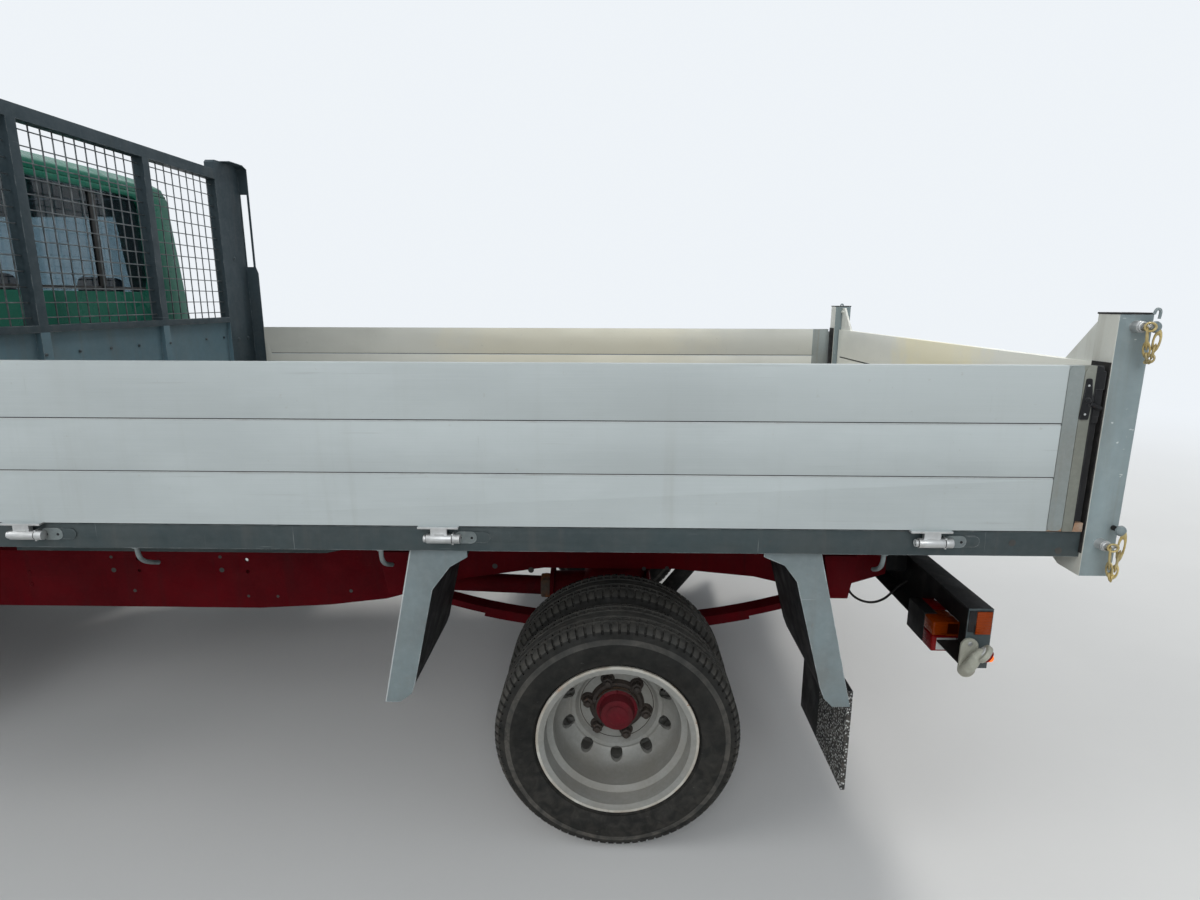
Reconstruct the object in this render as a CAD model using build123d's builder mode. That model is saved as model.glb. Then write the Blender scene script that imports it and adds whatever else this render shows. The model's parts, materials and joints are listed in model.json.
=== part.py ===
from build123d import *
from math import cos, sin, radians, sqrt, atan2, degrees
import os

# A light tipping truck: semi-bonneted three-seat cab, ladder frame, twin rear wheels,
# drop-side tipping body. Millimetres, X forward, Y to the truck's left, Z up, the
# ground at Z = 0 and the origin under the middle of the truck.

# Main lengths
wheelbase = 3500
front_overhang = 930
rear_overhang = 1202
overall_length = front_overhang + wheelbase + rear_overhang
front_axle_x = overall_length / 2 - front_overhang
rear_axle_x = front_axle_x - wheelbase
seat_gap = 0.3
moving_gap = 6

# Wheels and tyres
tyre_radius = 335
axle_z = tyre_radius
tyre_half_width = 93
bead_outer = 206.1
bead_inner = 205
twin_spacing = 216
disc_thickness = 9
dish_depth = twin_spacing / 2 - seat_gap
stud_ring_radius = 107
pilot_radius = 64
vent_count = 10
vent_radius = 18
vent_circle = 148
rear_wheel_y = 925
front_wheel_y = 850

# Ladder frame
rail_outer_y = 430
rail_flange = 60
rail_wall = 6
subframe_top = 735

# Tipping body
body_width = 2100
body_side_y = body_width / 2
floor_top = 948
floor_thickness = 5
bearer_depth = 70
side_rail_top = 951
side_rail_bottom = 888
side_rail_inset = 10
side_rail_wall = 4
dropside_bottom = 956
dropside_top = 1355
dropside_thickness = 25
dropside_rear_x = rear_axle_x - 1115
side_hinge_y = body_side_y + 5
side_hinge_z = 925
side_hinge_xs = [rear_axle_x + 1478, rear_axle_x + 442, rear_axle_x - 756]
hinge_barrel_radius = 12
hinge_barrel_length = 62
post_front_x = rear_axle_x - 1125
post_length = 77
post_depth = 70
post_top = 1475
post_bottom = 842
top_pin_z = 1444
tailgate_x = rear_axle_x - 1163
tailgate_thickness = 30
headboard_rear_x = rear_axle_x + 1940
headboard_thickness = 45
headboard_top = 2110
headboard_post_top = 2158
headboard_post_width = 220
headboard_flange_depth = 47
headboard_flange_wall = 5
mesh_bottom = 1410
mesh_pitch = 50
mesh_wire = 4

# Tipping gear
tip_hinge_x = rear_axle_x - 940
tip_hinge_z = 745
tip_pin_radius = 16
ram_x = rear_axle_x + 560
ram_foot_z = 665
ram_eye_z = 865

# Cab
cab_back_x = front_axle_x - 1300
door_rear_x = front_axle_x - 1120
door_front_x = front_axle_x + 40
cowl_x = front_axle_x + 370
cowl_z = 1165
header_x = front_axle_x - 270
header_z = 1965
roof_z = 2068
roof_rear_z = 2050
cab_floor_z = 660
sill_bottom = 480
belt_z = 1165
waist_half_width = 962
roof_half_width = 852
cab_wall = 40
arch_radius = 405
bonnet_half_width = 690
bumper_front_x = overall_length / 2
bumper_bottom = 290
bumper_top = 555


def at_x(x):
    return Plane.YZ.offset(x)


def at_y(y):
    return Plane.XZ.offset(-y)


def at_z(z):
    return Plane.XY.offset(z)


def rear_x(ahead):
    # a place given as its distance ahead of the rear axle
    return rear_axle_x + ahead


def front_x(ahead):
    # a place given as its distance ahead of the front axle
    return front_axle_x + ahead


def side_plate(points, middle_y, width, mode=Mode.ADD):
    # a plate or bar that shows this outline from the side
    with BuildSketch(at_y(middle_y)) as outline:
        with BuildLine():
            Polyline(*points, close=True)
        make_face()
    extrude(outline.sketch, amount=width / 2, both=True, mode=mode)


def cross_plate(points, middle_x, width, mode=Mode.ADD):
    # a plate or bar that shows this outline from the front
    with BuildSketch(at_x(middle_x)) as outline:
        with BuildLine():
            Polyline(*points, close=True)
        make_face()
    extrude(outline.sketch, amount=width / 2, both=True, mode=mode)


def flat_plate(points, bottom_z, height, mode=Mode.ADD):
    # a plate that shows this outline from above
    with BuildSketch(at_z(bottom_z)) as outline:
        with BuildLine():
            Polyline(*points, close=True)
        make_face()
    extrude(outline.sketch, amount=height, mode=mode)


def block(x0, x1, y0, y1, z0, z1, mode=Mode.ADD):
    # a straight bar or plate between its faces
    with Locations(((x0 + x1) / 2, (y0 + y1) / 2, (z0 + z1) / 2)):
        Box(abs(x1 - x0), abs(y1 - y0), abs(z1 - z0), mode=mode)


def rod_y(x, z, y0, y1, radius, mode=Mode.ADD):
    # a round bar, boss or hole that runs across the truck
    with Locations((x, (y0 + y1) / 2, z)):
        Cylinder(radius, abs(y1 - y0), rotation=(90, 0, 0), mode=mode)


def rod_x(y, z, x0, x1, radius, mode=Mode.ADD):
    # a round bar, boss or hole that runs along the truck
    with Locations(((x0 + x1) / 2, y, z)):
        Cylinder(radius, abs(x1 - x0), rotation=(0, 90, 0), mode=mode)


def rod_z(x, y, z0, z1, radius, mode=Mode.ADD):
    # an upright round bar, boss or hole
    with Locations((x, y, (z0 + z1) / 2)):
        Cylinder(radius, abs(z1 - z0), mode=mode)


def turned(points, axle_x, mode=Mode.ADD):
    # a ring or hub turned about an axle from (place across the truck, radius) corners
    with BuildSketch(at_x(axle_x)) as section:
        with BuildLine():
            Polyline(*[(y, axle_z + radius) for y, radius in points], close=True)
        make_face()
    revolve(section.sketch, axis=Axis((axle_x, 0, axle_z), (0, 1, 0)), mode=mode)


def save(made, name):
    made.part.label = name
    export_step(made.part, f"parts/{name}.step")


os.makedirs("parts", exist_ok=True)
sides = (("left", 1), ("right", -1))


# Ladder frame: bottom and top of the rail, each at a distance ahead of the rear axle
rail_sections = [
    (-915, 590, 690), (-700, 520, 690), (-470, 575, 695), (-200, 600, 700), (250, 600, 700),
    (520, 560, 697), (800, 480, 690), (1000, 455, 645), (1250, 440, 645), (4000, 440, 645),
    (4180, 470, 625), (4300, 480, 610),
]
rail_hole_places = (1280, 1660)
rail_hole_heights = (575, 618)
rail_hole_radius = 6.5
cross_members = [(-860, 30), (-330, 40), (330, 40), (1250, 50), (2050, 50), (2700, 50), (4250, 50)]


def rail_outline(wall, overrun):
    lows = [(rear_x(ahead), bottom + wall) for ahead, bottom, top in rail_sections]
    highs = [(rear_x(ahead), top - wall) for ahead, bottom, top in rail_sections]
    lows[0] = (lows[0][0] - overrun, lows[0][1])
    highs[0] = (highs[0][0] - overrun, highs[0][1])
    lows[-1] = (lows[-1][0] + overrun, lows[-1][1])
    highs[-1] = (highs[-1][0] + overrun, highs[-1][1])
    return lows + highs[::-1]


def rail_edge(ahead, column):
    # height of the rail's bottom (column 1) or top (column 2) ahead of the rear axle
    for low, high in zip(rail_sections, rail_sections[1:]):
        if low[0] <= ahead <= high[0]:
            return low[column] + (high[column] - low[column]) * (ahead - low[0]) / (high[0] - low[0])
    return rail_sections[-1][column]


spring_y = 472
spring_width = 60
spring_half_span = 700
spring_seat_z = 382
spring_camber = 125
spring_leaf = 11
spring_eye_radius = 24
spring_eye_z = spring_seat_z + spring_camber + spring_leaf * 5
rear_eye_ahead = 735
front_spring_y = 400
front_spring_half_span = 620
front_spring_seat_z = 300
front_spring_camber = 60

with BuildPart() as chassis_frame:
    for name, sign in sides:
        side_plate(rail_outline(0, 0), sign * (rail_outer_y - rail_flange / 2), rail_flange)
        inner_middle = sign * (rail_outer_y - rail_wall - rail_flange / 2)
        side_plate(rail_outline(rail_wall, 5), inner_middle, rail_flange, Mode.SUBTRACT)
        # hangers that carry the rear springs' eyes, outside the rail
        for ahead in (rear_eye_ahead, -rear_eye_ahead):
            x = rear_x(ahead)
            for y in (spring_y - spring_width / 2 - 5, spring_y + spring_width / 2 + 5):
                points = [(x - 55, 680), (x + 55, 680), (x + 30, spring_eye_z - 28), (x - 30, spring_eye_z - 28)]
                side_plate(points, sign * y, 6)
            block(x - 55, x + 55, sign * (rail_outer_y - 1), sign * (spring_y + spring_width / 2 + 8), 674, 682)
            rod_y(x, spring_eye_z, sign * (spring_y - 33), sign * (spring_y + 33), 8)
    for ahead, half_height in cross_members:
        x = rear_x(ahead)
        middle = (rail_edge(ahead, 1) + rail_edge(ahead, 2)) / 2
        inside = rail_outer_y - rail_wall + 1
        block(x - 30, x + 30, -inside, inside, middle - half_height, middle + half_height)
        block(x - 25, x + 40, -inside + 8, inside - 8, middle - half_height + 5, middle + half_height - 5,
              Mode.SUBTRACT)
    # punched holes that bolt equipment to the rails
    with Locations(*[Plane(origin=(rear_x(ahead), 0, z), z_dir=(0, 1, 0))
                     for ahead in rail_hole_places for z in rail_hole_heights]):
        Cylinder(rail_hole_radius, 2 * rail_outer_y + 40, mode=Mode.SUBTRACT)
save(chassis_frame, "chassis_frame")


# Tipper subframe: two channels on the rails, cross members, tip hinge ears and ram cradle
subframe_rear = -900
subframe_front = 2080
subframe_outer_y = rail_outer_y
subframe_flange = 50
cradle_half_gap = 92
ear_radius = 34
ear_thickness = 10
ear_ys = (377, 423)
subframe_marks = [subframe_rear, -700, -470, -200, 250, 520, 800, 1000, 1250, subframe_front]
with BuildPart() as tipper_subframe:
    for name, sign in sides:
        lows = [(rear_x(ahead), rail_edge(ahead, 2) + seat_gap) for ahead in subframe_marks]
        outline = lows + [(lows[-1][0], subframe_top), (lows[0][0], subframe_top)]
        side_plate(outline, sign * (subframe_outer_y - subframe_flange / 2), subframe_flange)
        # ears that hold the tip hinge, in pairs
        for y in ear_ys:
            side_plate([(tip_hinge_x - 20, tip_hinge_z - 27), (tip_hinge_x + 100, subframe_top - 38),
                        (tip_hinge_x + 100, subframe_top), (tip_hinge_x + 14, tip_hinge_z + 31)], sign * y, ear_thickness)
            rod_y(tip_hinge_x, tip_hinge_z, sign * (y - ear_thickness / 2), sign * (y + ear_thickness / 2), ear_radius)
    for ahead in (200, 1250, 2050):
        block(rear_x(ahead) - 25, rear_x(ahead) + 25, -385, 385, subframe_top - 34, subframe_top)
    # cradle for the ram's trunnions
    for sign in (1, -1):
        x = ram_x
        block(x - 45, x + 45, sign * cradle_half_gap, sign * (cradle_half_gap + 14), ram_foot_z - 40, subframe_top)
    for x in (ram_x - 130, ram_x + 130):
        block(x - 25, x + 25, -385, 385, subframe_top - 34, subframe_top)
    for sign in (1, -1):
        y = sign * (cradle_half_gap + 7)
        block(ram_x - 150, ram_x + 150, y - 7, y + 7, subframe_top - 34, subframe_top)
        rod_y(ram_x, ram_foot_z, y - 8, y + 8, 18.5, Mode.SUBTRACT)
    for sign in (1, -1):
        rod_y(tip_hinge_x, tip_hinge_z, sign * 365, sign * 435, tip_pin_radius + 0.5, Mode.SUBTRACT)
save(tipper_subframe, "tipper_subframe")


# Leaf springs: packs of curved leaves, each shorter than the one above
def leaf_pack(axle_at_x, middle_y, width, half_span, camber, seat_z, leaf_count):
    radius = (half_span ** 2 + camber ** 2) / (2 * camber)
    top = seat_z + leaf_count * spring_leaf
    centre_z = top + radius
    full = degrees(atan2(half_span, radius - camber))
    with BuildSketch(at_y(middle_y)) as leaves:
        for leaf in range(leaf_count):
            inner = radius + leaf * spring_leaf
            outer = inner + spring_leaf
            reach = full * (1 - 0.19 * leaf)
            with BuildLine():
                low = CenterArc((axle_at_x, centre_z), outer, 270 - reach, 2 * reach)
                high = CenterArc((axle_at_x, centre_z), inner, 270 - reach, 2 * reach)
                Line(low @ 0, high @ 0)
                Line(low @ 1, high @ 1)
            make_face()
    extrude(leaves.sketch, amount=width / 2, both=True)


front_axle_top = front_spring_seat_z - seat_gap
with BuildPart() as leaf_springs:
    for name, sign in sides:
        y = sign * spring_y
        leaf_pack(rear_axle_x, y, spring_width, spring_half_span, spring_camber, spring_seat_z, 5)
        for ahead in (rear_eye_ahead, -rear_eye_ahead):
            rod_y(rear_x(ahead), spring_eye_z, y - spring_width / 2, y + spring_width / 2, spring_eye_radius)
            inward = -1 if ahead > 0 else 1
            side_plate([(rear_x(ahead), spring_eye_z - 16), (rear_x(ahead), spring_eye_z + 5),
                        (rear_x(ahead + inward * 60), spring_eye_z - 6), (rear_x(ahead + inward * 60), spring_eye_z - 28)],
                       y, spring_width)
            rod_y(rear_x(ahead), spring_eye_z, y - spring_width, y + spring_width, 8.5, Mode.SUBTRACT)
        y = sign * front_spring_y
        leaf_pack(front_axle_x, y, 58, front_spring_half_span, front_spring_camber, front_spring_seat_z, 3)
        for way in (1, -1):
            x = front_x(way * front_spring_half_span)
            top = front_spring_seat_z + 3 * spring_leaf + front_spring_camber
            rod_y(x, top - 10, y - 29, y + 29, 20)
            under_rail = rail_edge(wheelbase + way * front_spring_half_span - 26, 1) - seat_gap
            block(x - 26, x + 26, y - 22, y + 22, top - 12, under_rail)
save(leaf_springs, "leaf_springs")


# Rear axle: tube with a round differential case, spring seats, brake plates, propeller shaft
axle_tube_radius = 44
spindle_radius = 38
pinion_x = rear_x(265)
gearbox_rear_x = front_x(-640)
shaft_front_z = 450
gearbox_z = 500
with BuildPart() as rear_axle:
    rod_y(rear_axle_x, axle_z, -632, 632, axle_tube_radius)
    rod_y(rear_axle_x, axle_z, -780, 780, spindle_radius)
    case_section = [(-130, 0), (-130, 60), (-95, 120), (-45, 146), (45, 146), (95, 120), (130, 60), (130, 0)]
    turned(case_section, rear_axle_x)
    rod_x(0, axle_z + 15, rear_axle_x + 90, pinion_x, 62)
    rod_x(0, axle_z + 15, pinion_x - 16, pinion_x, 80)
    for name, sign in sides:
        rod_y(rear_axle_x, axle_z, sign * 612, sign * 622, 138)
        block(rear_axle_x - 60, rear_axle_x + 60, sign * (spring_y - 34), sign * (spring_y + 34),
              axle_z + 20, spring_seat_z - seat_gap)
    # the propeller shaft rises to the gearbox
    with BuildSketch(Plane(origin=(pinion_x - 2, 0, axle_z + 15), x_dir=(0, 1, 0),
                           z_dir=(gearbox_rear_x - pinion_x, 0, shaft_front_z - axle_z - 15))):
        Circle(38)
    extrude(amount=sqrt((gearbox_rear_x - pinion_x) ** 2 + (shaft_front_z - axle_z - 15) ** 2) - 3)
save(rear_axle, "rear_axle")


# Front axle: dropped beam with kingpin bosses at its ends
kingpin_y = 800
beam_drop_z = 235
boss_half_height = 48
with BuildPart() as front_axle:
    for name, sign in sides:
        low = [(0, beam_drop_z), (sign * 380, beam_drop_z), (sign * 560, beam_drop_z + 25),
               (sign * 700, axle_z - 34), (sign * 795, axle_z - 34)]
        high = [(sign * 795, axle_z + 34), (sign * 690, axle_z + 34), (sign * 540, front_axle_top),
                (sign * 380, front_axle_top), (sign * 300, beam_drop_z + 60), (0, beam_drop_z + 60)]
        cross_plate(low + high, front_axle_x, 62)
        rod_z(front_axle_x, sign * kingpin_y, axle_z - boss_half_height, axle_z + boss_half_height, 31)
    for name, sign in sides:
        rod_z(front_axle_x, sign * kingpin_y, axle_z - 60, axle_z + 60, 14.5, Mode.SUBTRACT)
save(front_axle, "front_axle")


# Knuckles: forks over the kingpin bosses, stub axles, brake plates and steering arms
arm_length = 95
arm_thickness = 18
arm_bottom = axle_z - 85
lug_inner = boss_half_height + 5
rod_pin_radius = 9
knuckle_web_y = 838
for name, sign in sides:
    with BuildPart() as knuckle:
        for way in (1, -1):
            z0 = axle_z + way * lug_inner
            z1 = axle_z + way * (lug_inner + 26)
            rod_z(front_axle_x, sign * kingpin_y, z0, z1, 30)
            block(front_axle_x - 26, front_axle_x + 26, sign * kingpin_y, sign * (knuckle_web_y + 8), z0, z1)
        block(front_axle_x - 40, front_axle_x + 40, sign * knuckle_web_y, sign * (knuckle_web_y + 16),
              axle_z - lug_inner - 26, axle_z + lug_inner + 26)
        rod_y(front_axle_x, axle_z, sign * (knuckle_web_y + 14), sign * 935, 24)
        rod_y(front_axle_x, axle_z, sign * (knuckle_web_y + 8), sign * (knuckle_web_y + 16), 128)
        rod_z(front_axle_x, sign * kingpin_y, axle_z - lug_inner - 26, axle_z + lug_inner + 26, 14)
        # steering arm, back from the lower lug
        block(front_axle_x - arm_length, front_axle_x, sign * (kingpin_y - 18), sign * (kingpin_y + 18),
              arm_bottom, arm_bottom + arm_thickness)
        rod_z(front_axle_x - arm_length, sign * kingpin_y, arm_bottom, arm_bottom + arm_thickness, 22)
        rod_z(front_axle_x - arm_length, sign * kingpin_y, arm_bottom - 1, arm_bottom + arm_thickness + 1,
              rod_pin_radius + 0.5, Mode.SUBTRACT)
    save(knuckle, f"knuckle_{name}")

rod_gap = 2
rod_top_z = arm_bottom - rod_gap
with BuildPart() as track_rod:
    rod_place_x = front_axle_x - arm_length
    rod_y(rod_place_x, rod_top_z - 16, -kingpin_y, kingpin_y, 13)
    for name, sign in sides:
        rod_z(rod_place_x, sign * kingpin_y, rod_top_z - 32, rod_top_z, 20)
        rod_z(rod_place_x, sign * kingpin_y, rod_top_z - 1, arm_bottom + arm_thickness + 6, rod_pin_radius)
save(track_rod, "track_rod")


# Wheels: dished six-stud discs in deep-well rims
rim_section = [
    (-80, 214), (-80, 221), (-73, 221), (-71, 206), (-46, 202), (-38, 184), (20, 184), (28, 202),
    (71, 206), (73, 221), (80, 221), (80, 214), (76, 199), (32, 195), (24, 178), (-42, 178), (-50, 195), (-76, 199),
]
disc_section = [
    (-24, 180), (-56, 170), (-82, 147), (-88, 139), (-85, 132), (-87, 122), (-dish_depth + disc_thickness, stud_ring_radius + 5),
    (-dish_depth + disc_thickness, pilot_radius + 1), (-dish_depth, pilot_radius + 1),
    (-dish_depth, stud_ring_radius + 8), (-98, 126), (-95, 134), (-98, 142), (-90, 154), (-66, 175), (-38, 180),
]


def wheel(axle_at_x, middle_y, way):
    # way is +1 where the dish is sunk towards the truck's middle on the left side
    turned([(middle_y + way * across, radius) for across, radius in rim_section], axle_at_x)
    turned([(middle_y + way * across, radius) for across, radius in disc_section], axle_at_x)
    with Locations(Plane(origin=(axle_at_x, middle_y - way * 66, axle_z), x_dir=(1, 0, 0), z_dir=(0, 1, 0))):
        with PolarLocations(vent_circle, vent_count, start_angle=180 / vent_count):
            Cylinder(vent_radius, 90, mode=Mode.SUBTRACT)


def tyre(axle_at_x, middle_y):
    # sidewalls are arcs between the bead, the widest place and the shoulder
    crown = tyre_radius
    for_outer = [(69, 222), (tyre_half_width, 272), (82, 316)]
    for_inner = [(57, 222), (tyre_half_width - 12, 270), (68, 308)]
    with BuildSketch(at_x(axle_at_x)) as section:
        with BuildLine():
            def at(across, radius):
                return (middle_y + across, axle_z + radius)
            ThreePointArc(*[at(a, r) for a, r in for_outer])
            Polyline(at(82, 316), at(76, crown - 9), at(58, crown), at(-58, crown), at(-76, crown - 9), at(-82, 316))
            ThreePointArc(*[at(-a, r) for a, r in for_outer[::-1]])
            Polyline(at(-69, 222), at(-69, bead_outer), at(-57, bead_inner), at(-57, 222))
            ThreePointArc(*[at(-a, r) for a, r in for_inner])
            Polyline(at(-68, 308), at(-52, crown - 15), at(52, crown - 15), at(68, 308))
            ThreePointArc(*[at(a, r) for a, r in for_inner[::-1]])
            Polyline(at(57, 222), at(57, bead_inner), at(69, bead_outer), at(69, 222))
        make_face()
    revolve(section.sketch, axis=Axis((axle_at_x, 0, axle_z), (0, 1, 0)))


inner_wheel_y = rear_wheel_y - twin_spacing
twin_face_y = rear_wheel_y - twin_spacing / 2
for name, sign in sides:
    with BuildPart() as rear_wheels:
        wheel(rear_axle_x, sign * rear_wheel_y, sign)
        wheel(rear_axle_x, sign * inner_wheel_y, -sign)
        # hub and brake drum on the axle's end
        hub = [(626, 128), (626, 146), (716, 146), (724, 100), (780, 96), (795, 104),
               (twin_face_y - disc_thickness - seat_gap * 2, 104), (twin_face_y - disc_thickness - seat_gap * 2, 62),
               (twin_face_y + 34, 62), (twin_face_y + 40, 52), (twin_face_y + 68, 46), (twin_face_y + 72, 0),
               (782, 0), (782, spindle_radius + 0.5), (712, spindle_radius + 0.5), (706, 128)]
        turned([(sign * y, radius) for y, radius in hub], rear_axle_x)
    save(rear_wheels, f"rear_wheels_{name}")
    with BuildPart() as rear_tyres:
        tyre(rear_axle_x, sign * rear_wheel_y)
        tyre(rear_axle_x, sign * inner_wheel_y)
    save(rear_tyres, f"rear_tyres_{name}")
    with BuildPart() as front_wheel:
        wheel(front_axle_x, sign * front_wheel_y, -sign)
        face_y = front_wheel_y + dish_depth - disc_thickness
        hub = [(862, 122), (862, 140), (905, 140), (914, 100), (face_y - seat_gap, 100), (face_y - seat_gap, 62),
               (face_y + 20, 62), (face_y + 26, 50), (face_y + 42, 44), (face_y + 44, 0), (937, 0), (937, 24.5),
               (898, 24.5), (898, 122)]
        turned([(sign * y, radius) for y, radius in hub], front_axle_x)
    save(front_wheel, f"front_wheel_{name}")
    with BuildPart() as front_tyre:
        tyre(front_axle_x, sign * front_wheel_y)
    save(front_tyre, f"front_tyre_{name}")


# Engine as one plain block with its gearbox, and the radiator ahead of it
engine_front_x = front_x(600)
engine_rear_x = front_x(20)
with BuildPart() as engine:
    block(engine_rear_x, engine_front_x, -235, 235, 345, 930)
    rod_x(0, gearbox_z, gearbox_rear_x, front_x(-300), 80)
    rod_x(0, gearbox_z, front_x(-302), engine_rear_x + 1, 120)
    # mounting feet reach the rails
    for x in (front_x(300), front_x(-560)):
        block(x - 40, x + 40, -(rail_outer_y - rail_wall - seat_gap), rail_outer_y - rail_wall - seat_gap,
              gearbox_z - 20, gearbox_z + 40)
save(engine, "engine")

with BuildPart() as radiator:
    radiator_x = front_x(660)
    block(radiator_x - 28, radiator_x + 28, -330, 330, 480, 900)
    for sign in (1, -1):
        block(radiator_x - 35, radiator_x + 35, sign * 300, sign * (rail_outer_y - rail_wall - seat_gap), 520, 590)
save(radiator, "radiator")


# Exhaust under the right side: front pipe, round silencer with its hangers, and the tail pipe
exhaust_y = -300
exhaust_z = 400
silencer_rear_x = front_x(-1500)
with BuildPart() as tail_pipe:
    rod_x(exhaust_y, exhaust_z, rear_x(900), silencer_rear_x - seat_gap, 24)
save(tail_pipe, "tail_pipe")

with BuildPart() as exhaust:
    rod_x(exhaust_y, exhaust_z, front_x(-1300), front_x(-180), 26)
    rod_x(exhaust_y, exhaust_z, silencer_rear_x, front_x(-900), 75)
    for x in (front_x(-1400), front_x(-960)):
        block(x - 12, x + 12, exhaust_y - 78, exhaust_y - 70, 395, 440 - seat_gap)
        block(x - 12, x + 12, exhaust_y - 78, exhaust_y - 60, 395, 405)
save(exhaust, "exhaust")


# Fuel tank outside the right rail, on two brackets
tank_half_length = 330
tank_middle_x = rear_x(1650)
with BuildPart() as fuel_tank:
    with BuildSketch(at_x(tank_middle_x - tank_half_length)) as tank_end:
        with Locations((-(rail_outer_y + 205), 465)):
            RectangleRounded(330, 290, 55)
    extrude(tank_end.sketch, amount=2 * tank_half_length)
    for x in (tank_middle_x - 220, tank_middle_x + 220):
        block(x - 20, x + 20, -(rail_outer_y + seat_gap), -(rail_outer_y + 45), 470, 640)
        block(x - 20, x + 20, -(rail_outer_y + seat_gap), -(rail_outer_y + 375), 612, 622)
        block(x - 20, x + 20, -(rail_outer_y + 368), -(rail_outer_y + 378), 330, 622)
save(fuel_tank, "fuel_tank")


# Underrun bar: a deep folded section across the tail, on two arms from the rails
bar_front_x = rear_x(-926)
bar_rear_x = rear_x(-992)
bar_bottom = 534
bar_top = 706
bar_half_length = 950
lamp_middle_y = 715
lamp_width = 170
lamp_in_bar = 60
with BuildPart() as underrun_bar:
    block(bar_rear_x, bar_front_x, -bar_half_length, bar_half_length, bar_bottom, bar_top)
    block(bar_rear_x + 6, bar_front_x + 1, -(bar_half_length - 6), bar_half_length - 6, bar_bottom + 6, bar_top - 6,
          Mode.SUBTRACT)
    for name, sign in sides:
        # pads that bolt the bar to the rails' ends, and a notch for each lamp
        block(bar_rear_x + 5, rear_x(rail_sections[0][0]) - seat_gap, sign * 375, sign * 425, 600, 680)
        lamp_y = sign * lamp_middle_y
        block(bar_rear_x - 1, bar_front_x + 1, lamp_y - lamp_width / 2 - seat_gap, lamp_y + lamp_width / 2 + seat_gap,
              bar_bottom - 1, bar_bottom + lamp_in_bar + seat_gap, Mode.SUBTRACT)
save(underrun_bar, "underrun_bar")

# Rear lamp clusters in the bar's notches, and stalk marker lamps at its ends
marker_x = rear_x(-936)
marker_z = bar_bottom + 33
with BuildPart() as rear_lamps:
    for name, sign in sides:
        lamp_y = sign * lamp_middle_y
        block(bar_rear_x - 12, bar_front_x + 14, lamp_y - lamp_width / 2, lamp_y + lamp_width / 2,
              bar_bottom - 32, bar_bottom + lamp_in_bar)
        end_y = sign * (bar_half_length + seat_gap)
        with BuildSketch(at_y(end_y + sign * 4)) as base:
            with Locations((marker_x, marker_z)):
                SlotOverall(112, 46, rotation=90)
        extrude(base.sketch, amount=4, both=True)
        rod_y(marker_x, marker_z, end_y + sign * 7, end_y + sign * 40, 13)
        rod_x(end_y + sign * 40, marker_z, marker_x + 13, marker_x - 48, 14)
        rod_x(end_y + sign * 40, marker_z, marker_x - 47, marker_x - 72, 24)
save(rear_lamps, "rear_lamps")


# Cab: one envelope gives every panel its outer and inner face
def cab_envelope(inset):
    # the closed form of the cab's outside, or of a face set in from it
    side = [
        (cab_back_x + inset, sill_bottom), (cab_back_x + inset, roof_rear_z - inset - 40),
        (cab_back_x + 70, roof_rear_z - inset), (front_x(-700), roof_z - inset),
        (front_x(-420), roof_z - inset - 22), (header_x - inset * 0.62, header_z + 30 - inset * 0.82),
        (cowl_x - inset, cowl_z - inset * 0.34), (cowl_x - inset, sill_bottom),
    ]
    low = waist_half_width - inset
    high = roof_half_width - inset
    with BuildPart() as envelope:
        side_plate(side, 0, 2 * waist_half_width + 20)
        with BuildSketch(at_x(cab_back_x)) as front_view:
            with BuildLine():
                Polyline((-high, header_z), (-low, belt_z), (-low, 900), (-low + 22, sill_bottom),
                         (low - 22, sill_bottom), (low, 900), (low, belt_z), (high, header_z))
                edge_top = roof_z - inset - 28
                Line((high, header_z), (high - 55, edge_top))
                ThreePointArc((high - 55, edge_top), (0, roof_z - inset), (-high + 55, edge_top))
                Line((-high + 55, edge_top), (-high, header_z))
            make_face()
        extrude(front_view.sketch, amount=2500, mode=Mode.INTERSECT)
    return envelope.part


cab_outside = cab_envelope(0)
with BuildPart() as cab_skin:
    add(cab_outside)
    add(cab_envelope(cab_wall), mode=Mode.SUBTRACT)

shut_line = 6
roof_joint_z = 1975
door_top_z = roof_joint_z - 8
door_bottom_z = 545


def pillar_x(height, behind):
    slope = (cowl_x - header_x) / (header_z - cowl_z)
    return cowl_x - (height - cowl_z) * slope - behind


pillar_width = 105


def fixed_door_hinge(sign, z):
    # the half of a door hinge that stays on the cab, with its pin
    block(door_hinge_x, door_front_x + 70, sign * (waist_half_width - 1), sign * (waist_half_width + 6), z + 22, z + 45)
    rod_z(door_hinge_x, sign * door_hinge_y, z + 22, z + 45, door_hinge_radius)
    rod_z(door_hinge_x, sign * door_hinge_y, z - 23, z + 23, door_pin_radius)


bonnet_hinge_x = cowl_x + 6
bonnet_hinge_z = 1151
bonnet_hinge_ys = (-450, 450)


def door_points(grow):
    # the door's outline in side view, grown by the shut line for its opening
    top = door_top_z + grow
    front = door_front_x + grow
    return [
        (door_rear_x - grow, door_bottom_z - grow), (front_x(-385) + grow, door_bottom_z - grow),
        (front_x(-385) + grow, 560), (front_x(-300) + grow, 660), (front_x(-170) + grow, 738), (front, 772),
        (front, pillar_front_z), (pillar_x(top, pillar_width - grow * 1.3), top), (door_rear_x - grow, top),
    ]


pillar_front_z = cowl_z + (cowl_x - pillar_width - door_front_x) * (header_z - cowl_z) / (cowl_x - header_x)
window_sill_z = 1190
window_top_z = 1890
window_rear_x = door_rear_x + 70


def window_points(grow):
    # the door glass's outline in side view
    top = window_top_z + grow
    low = window_sill_z - grow
    return [
        (window_rear_x - grow, low), (front_x(-25) + grow, low), (front_x(-25) + grow, window_sill_z + 40),
        (pillar_x(top, pillar_width + 75 - grow), top), (window_rear_x - grow, top),
    ]


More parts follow.
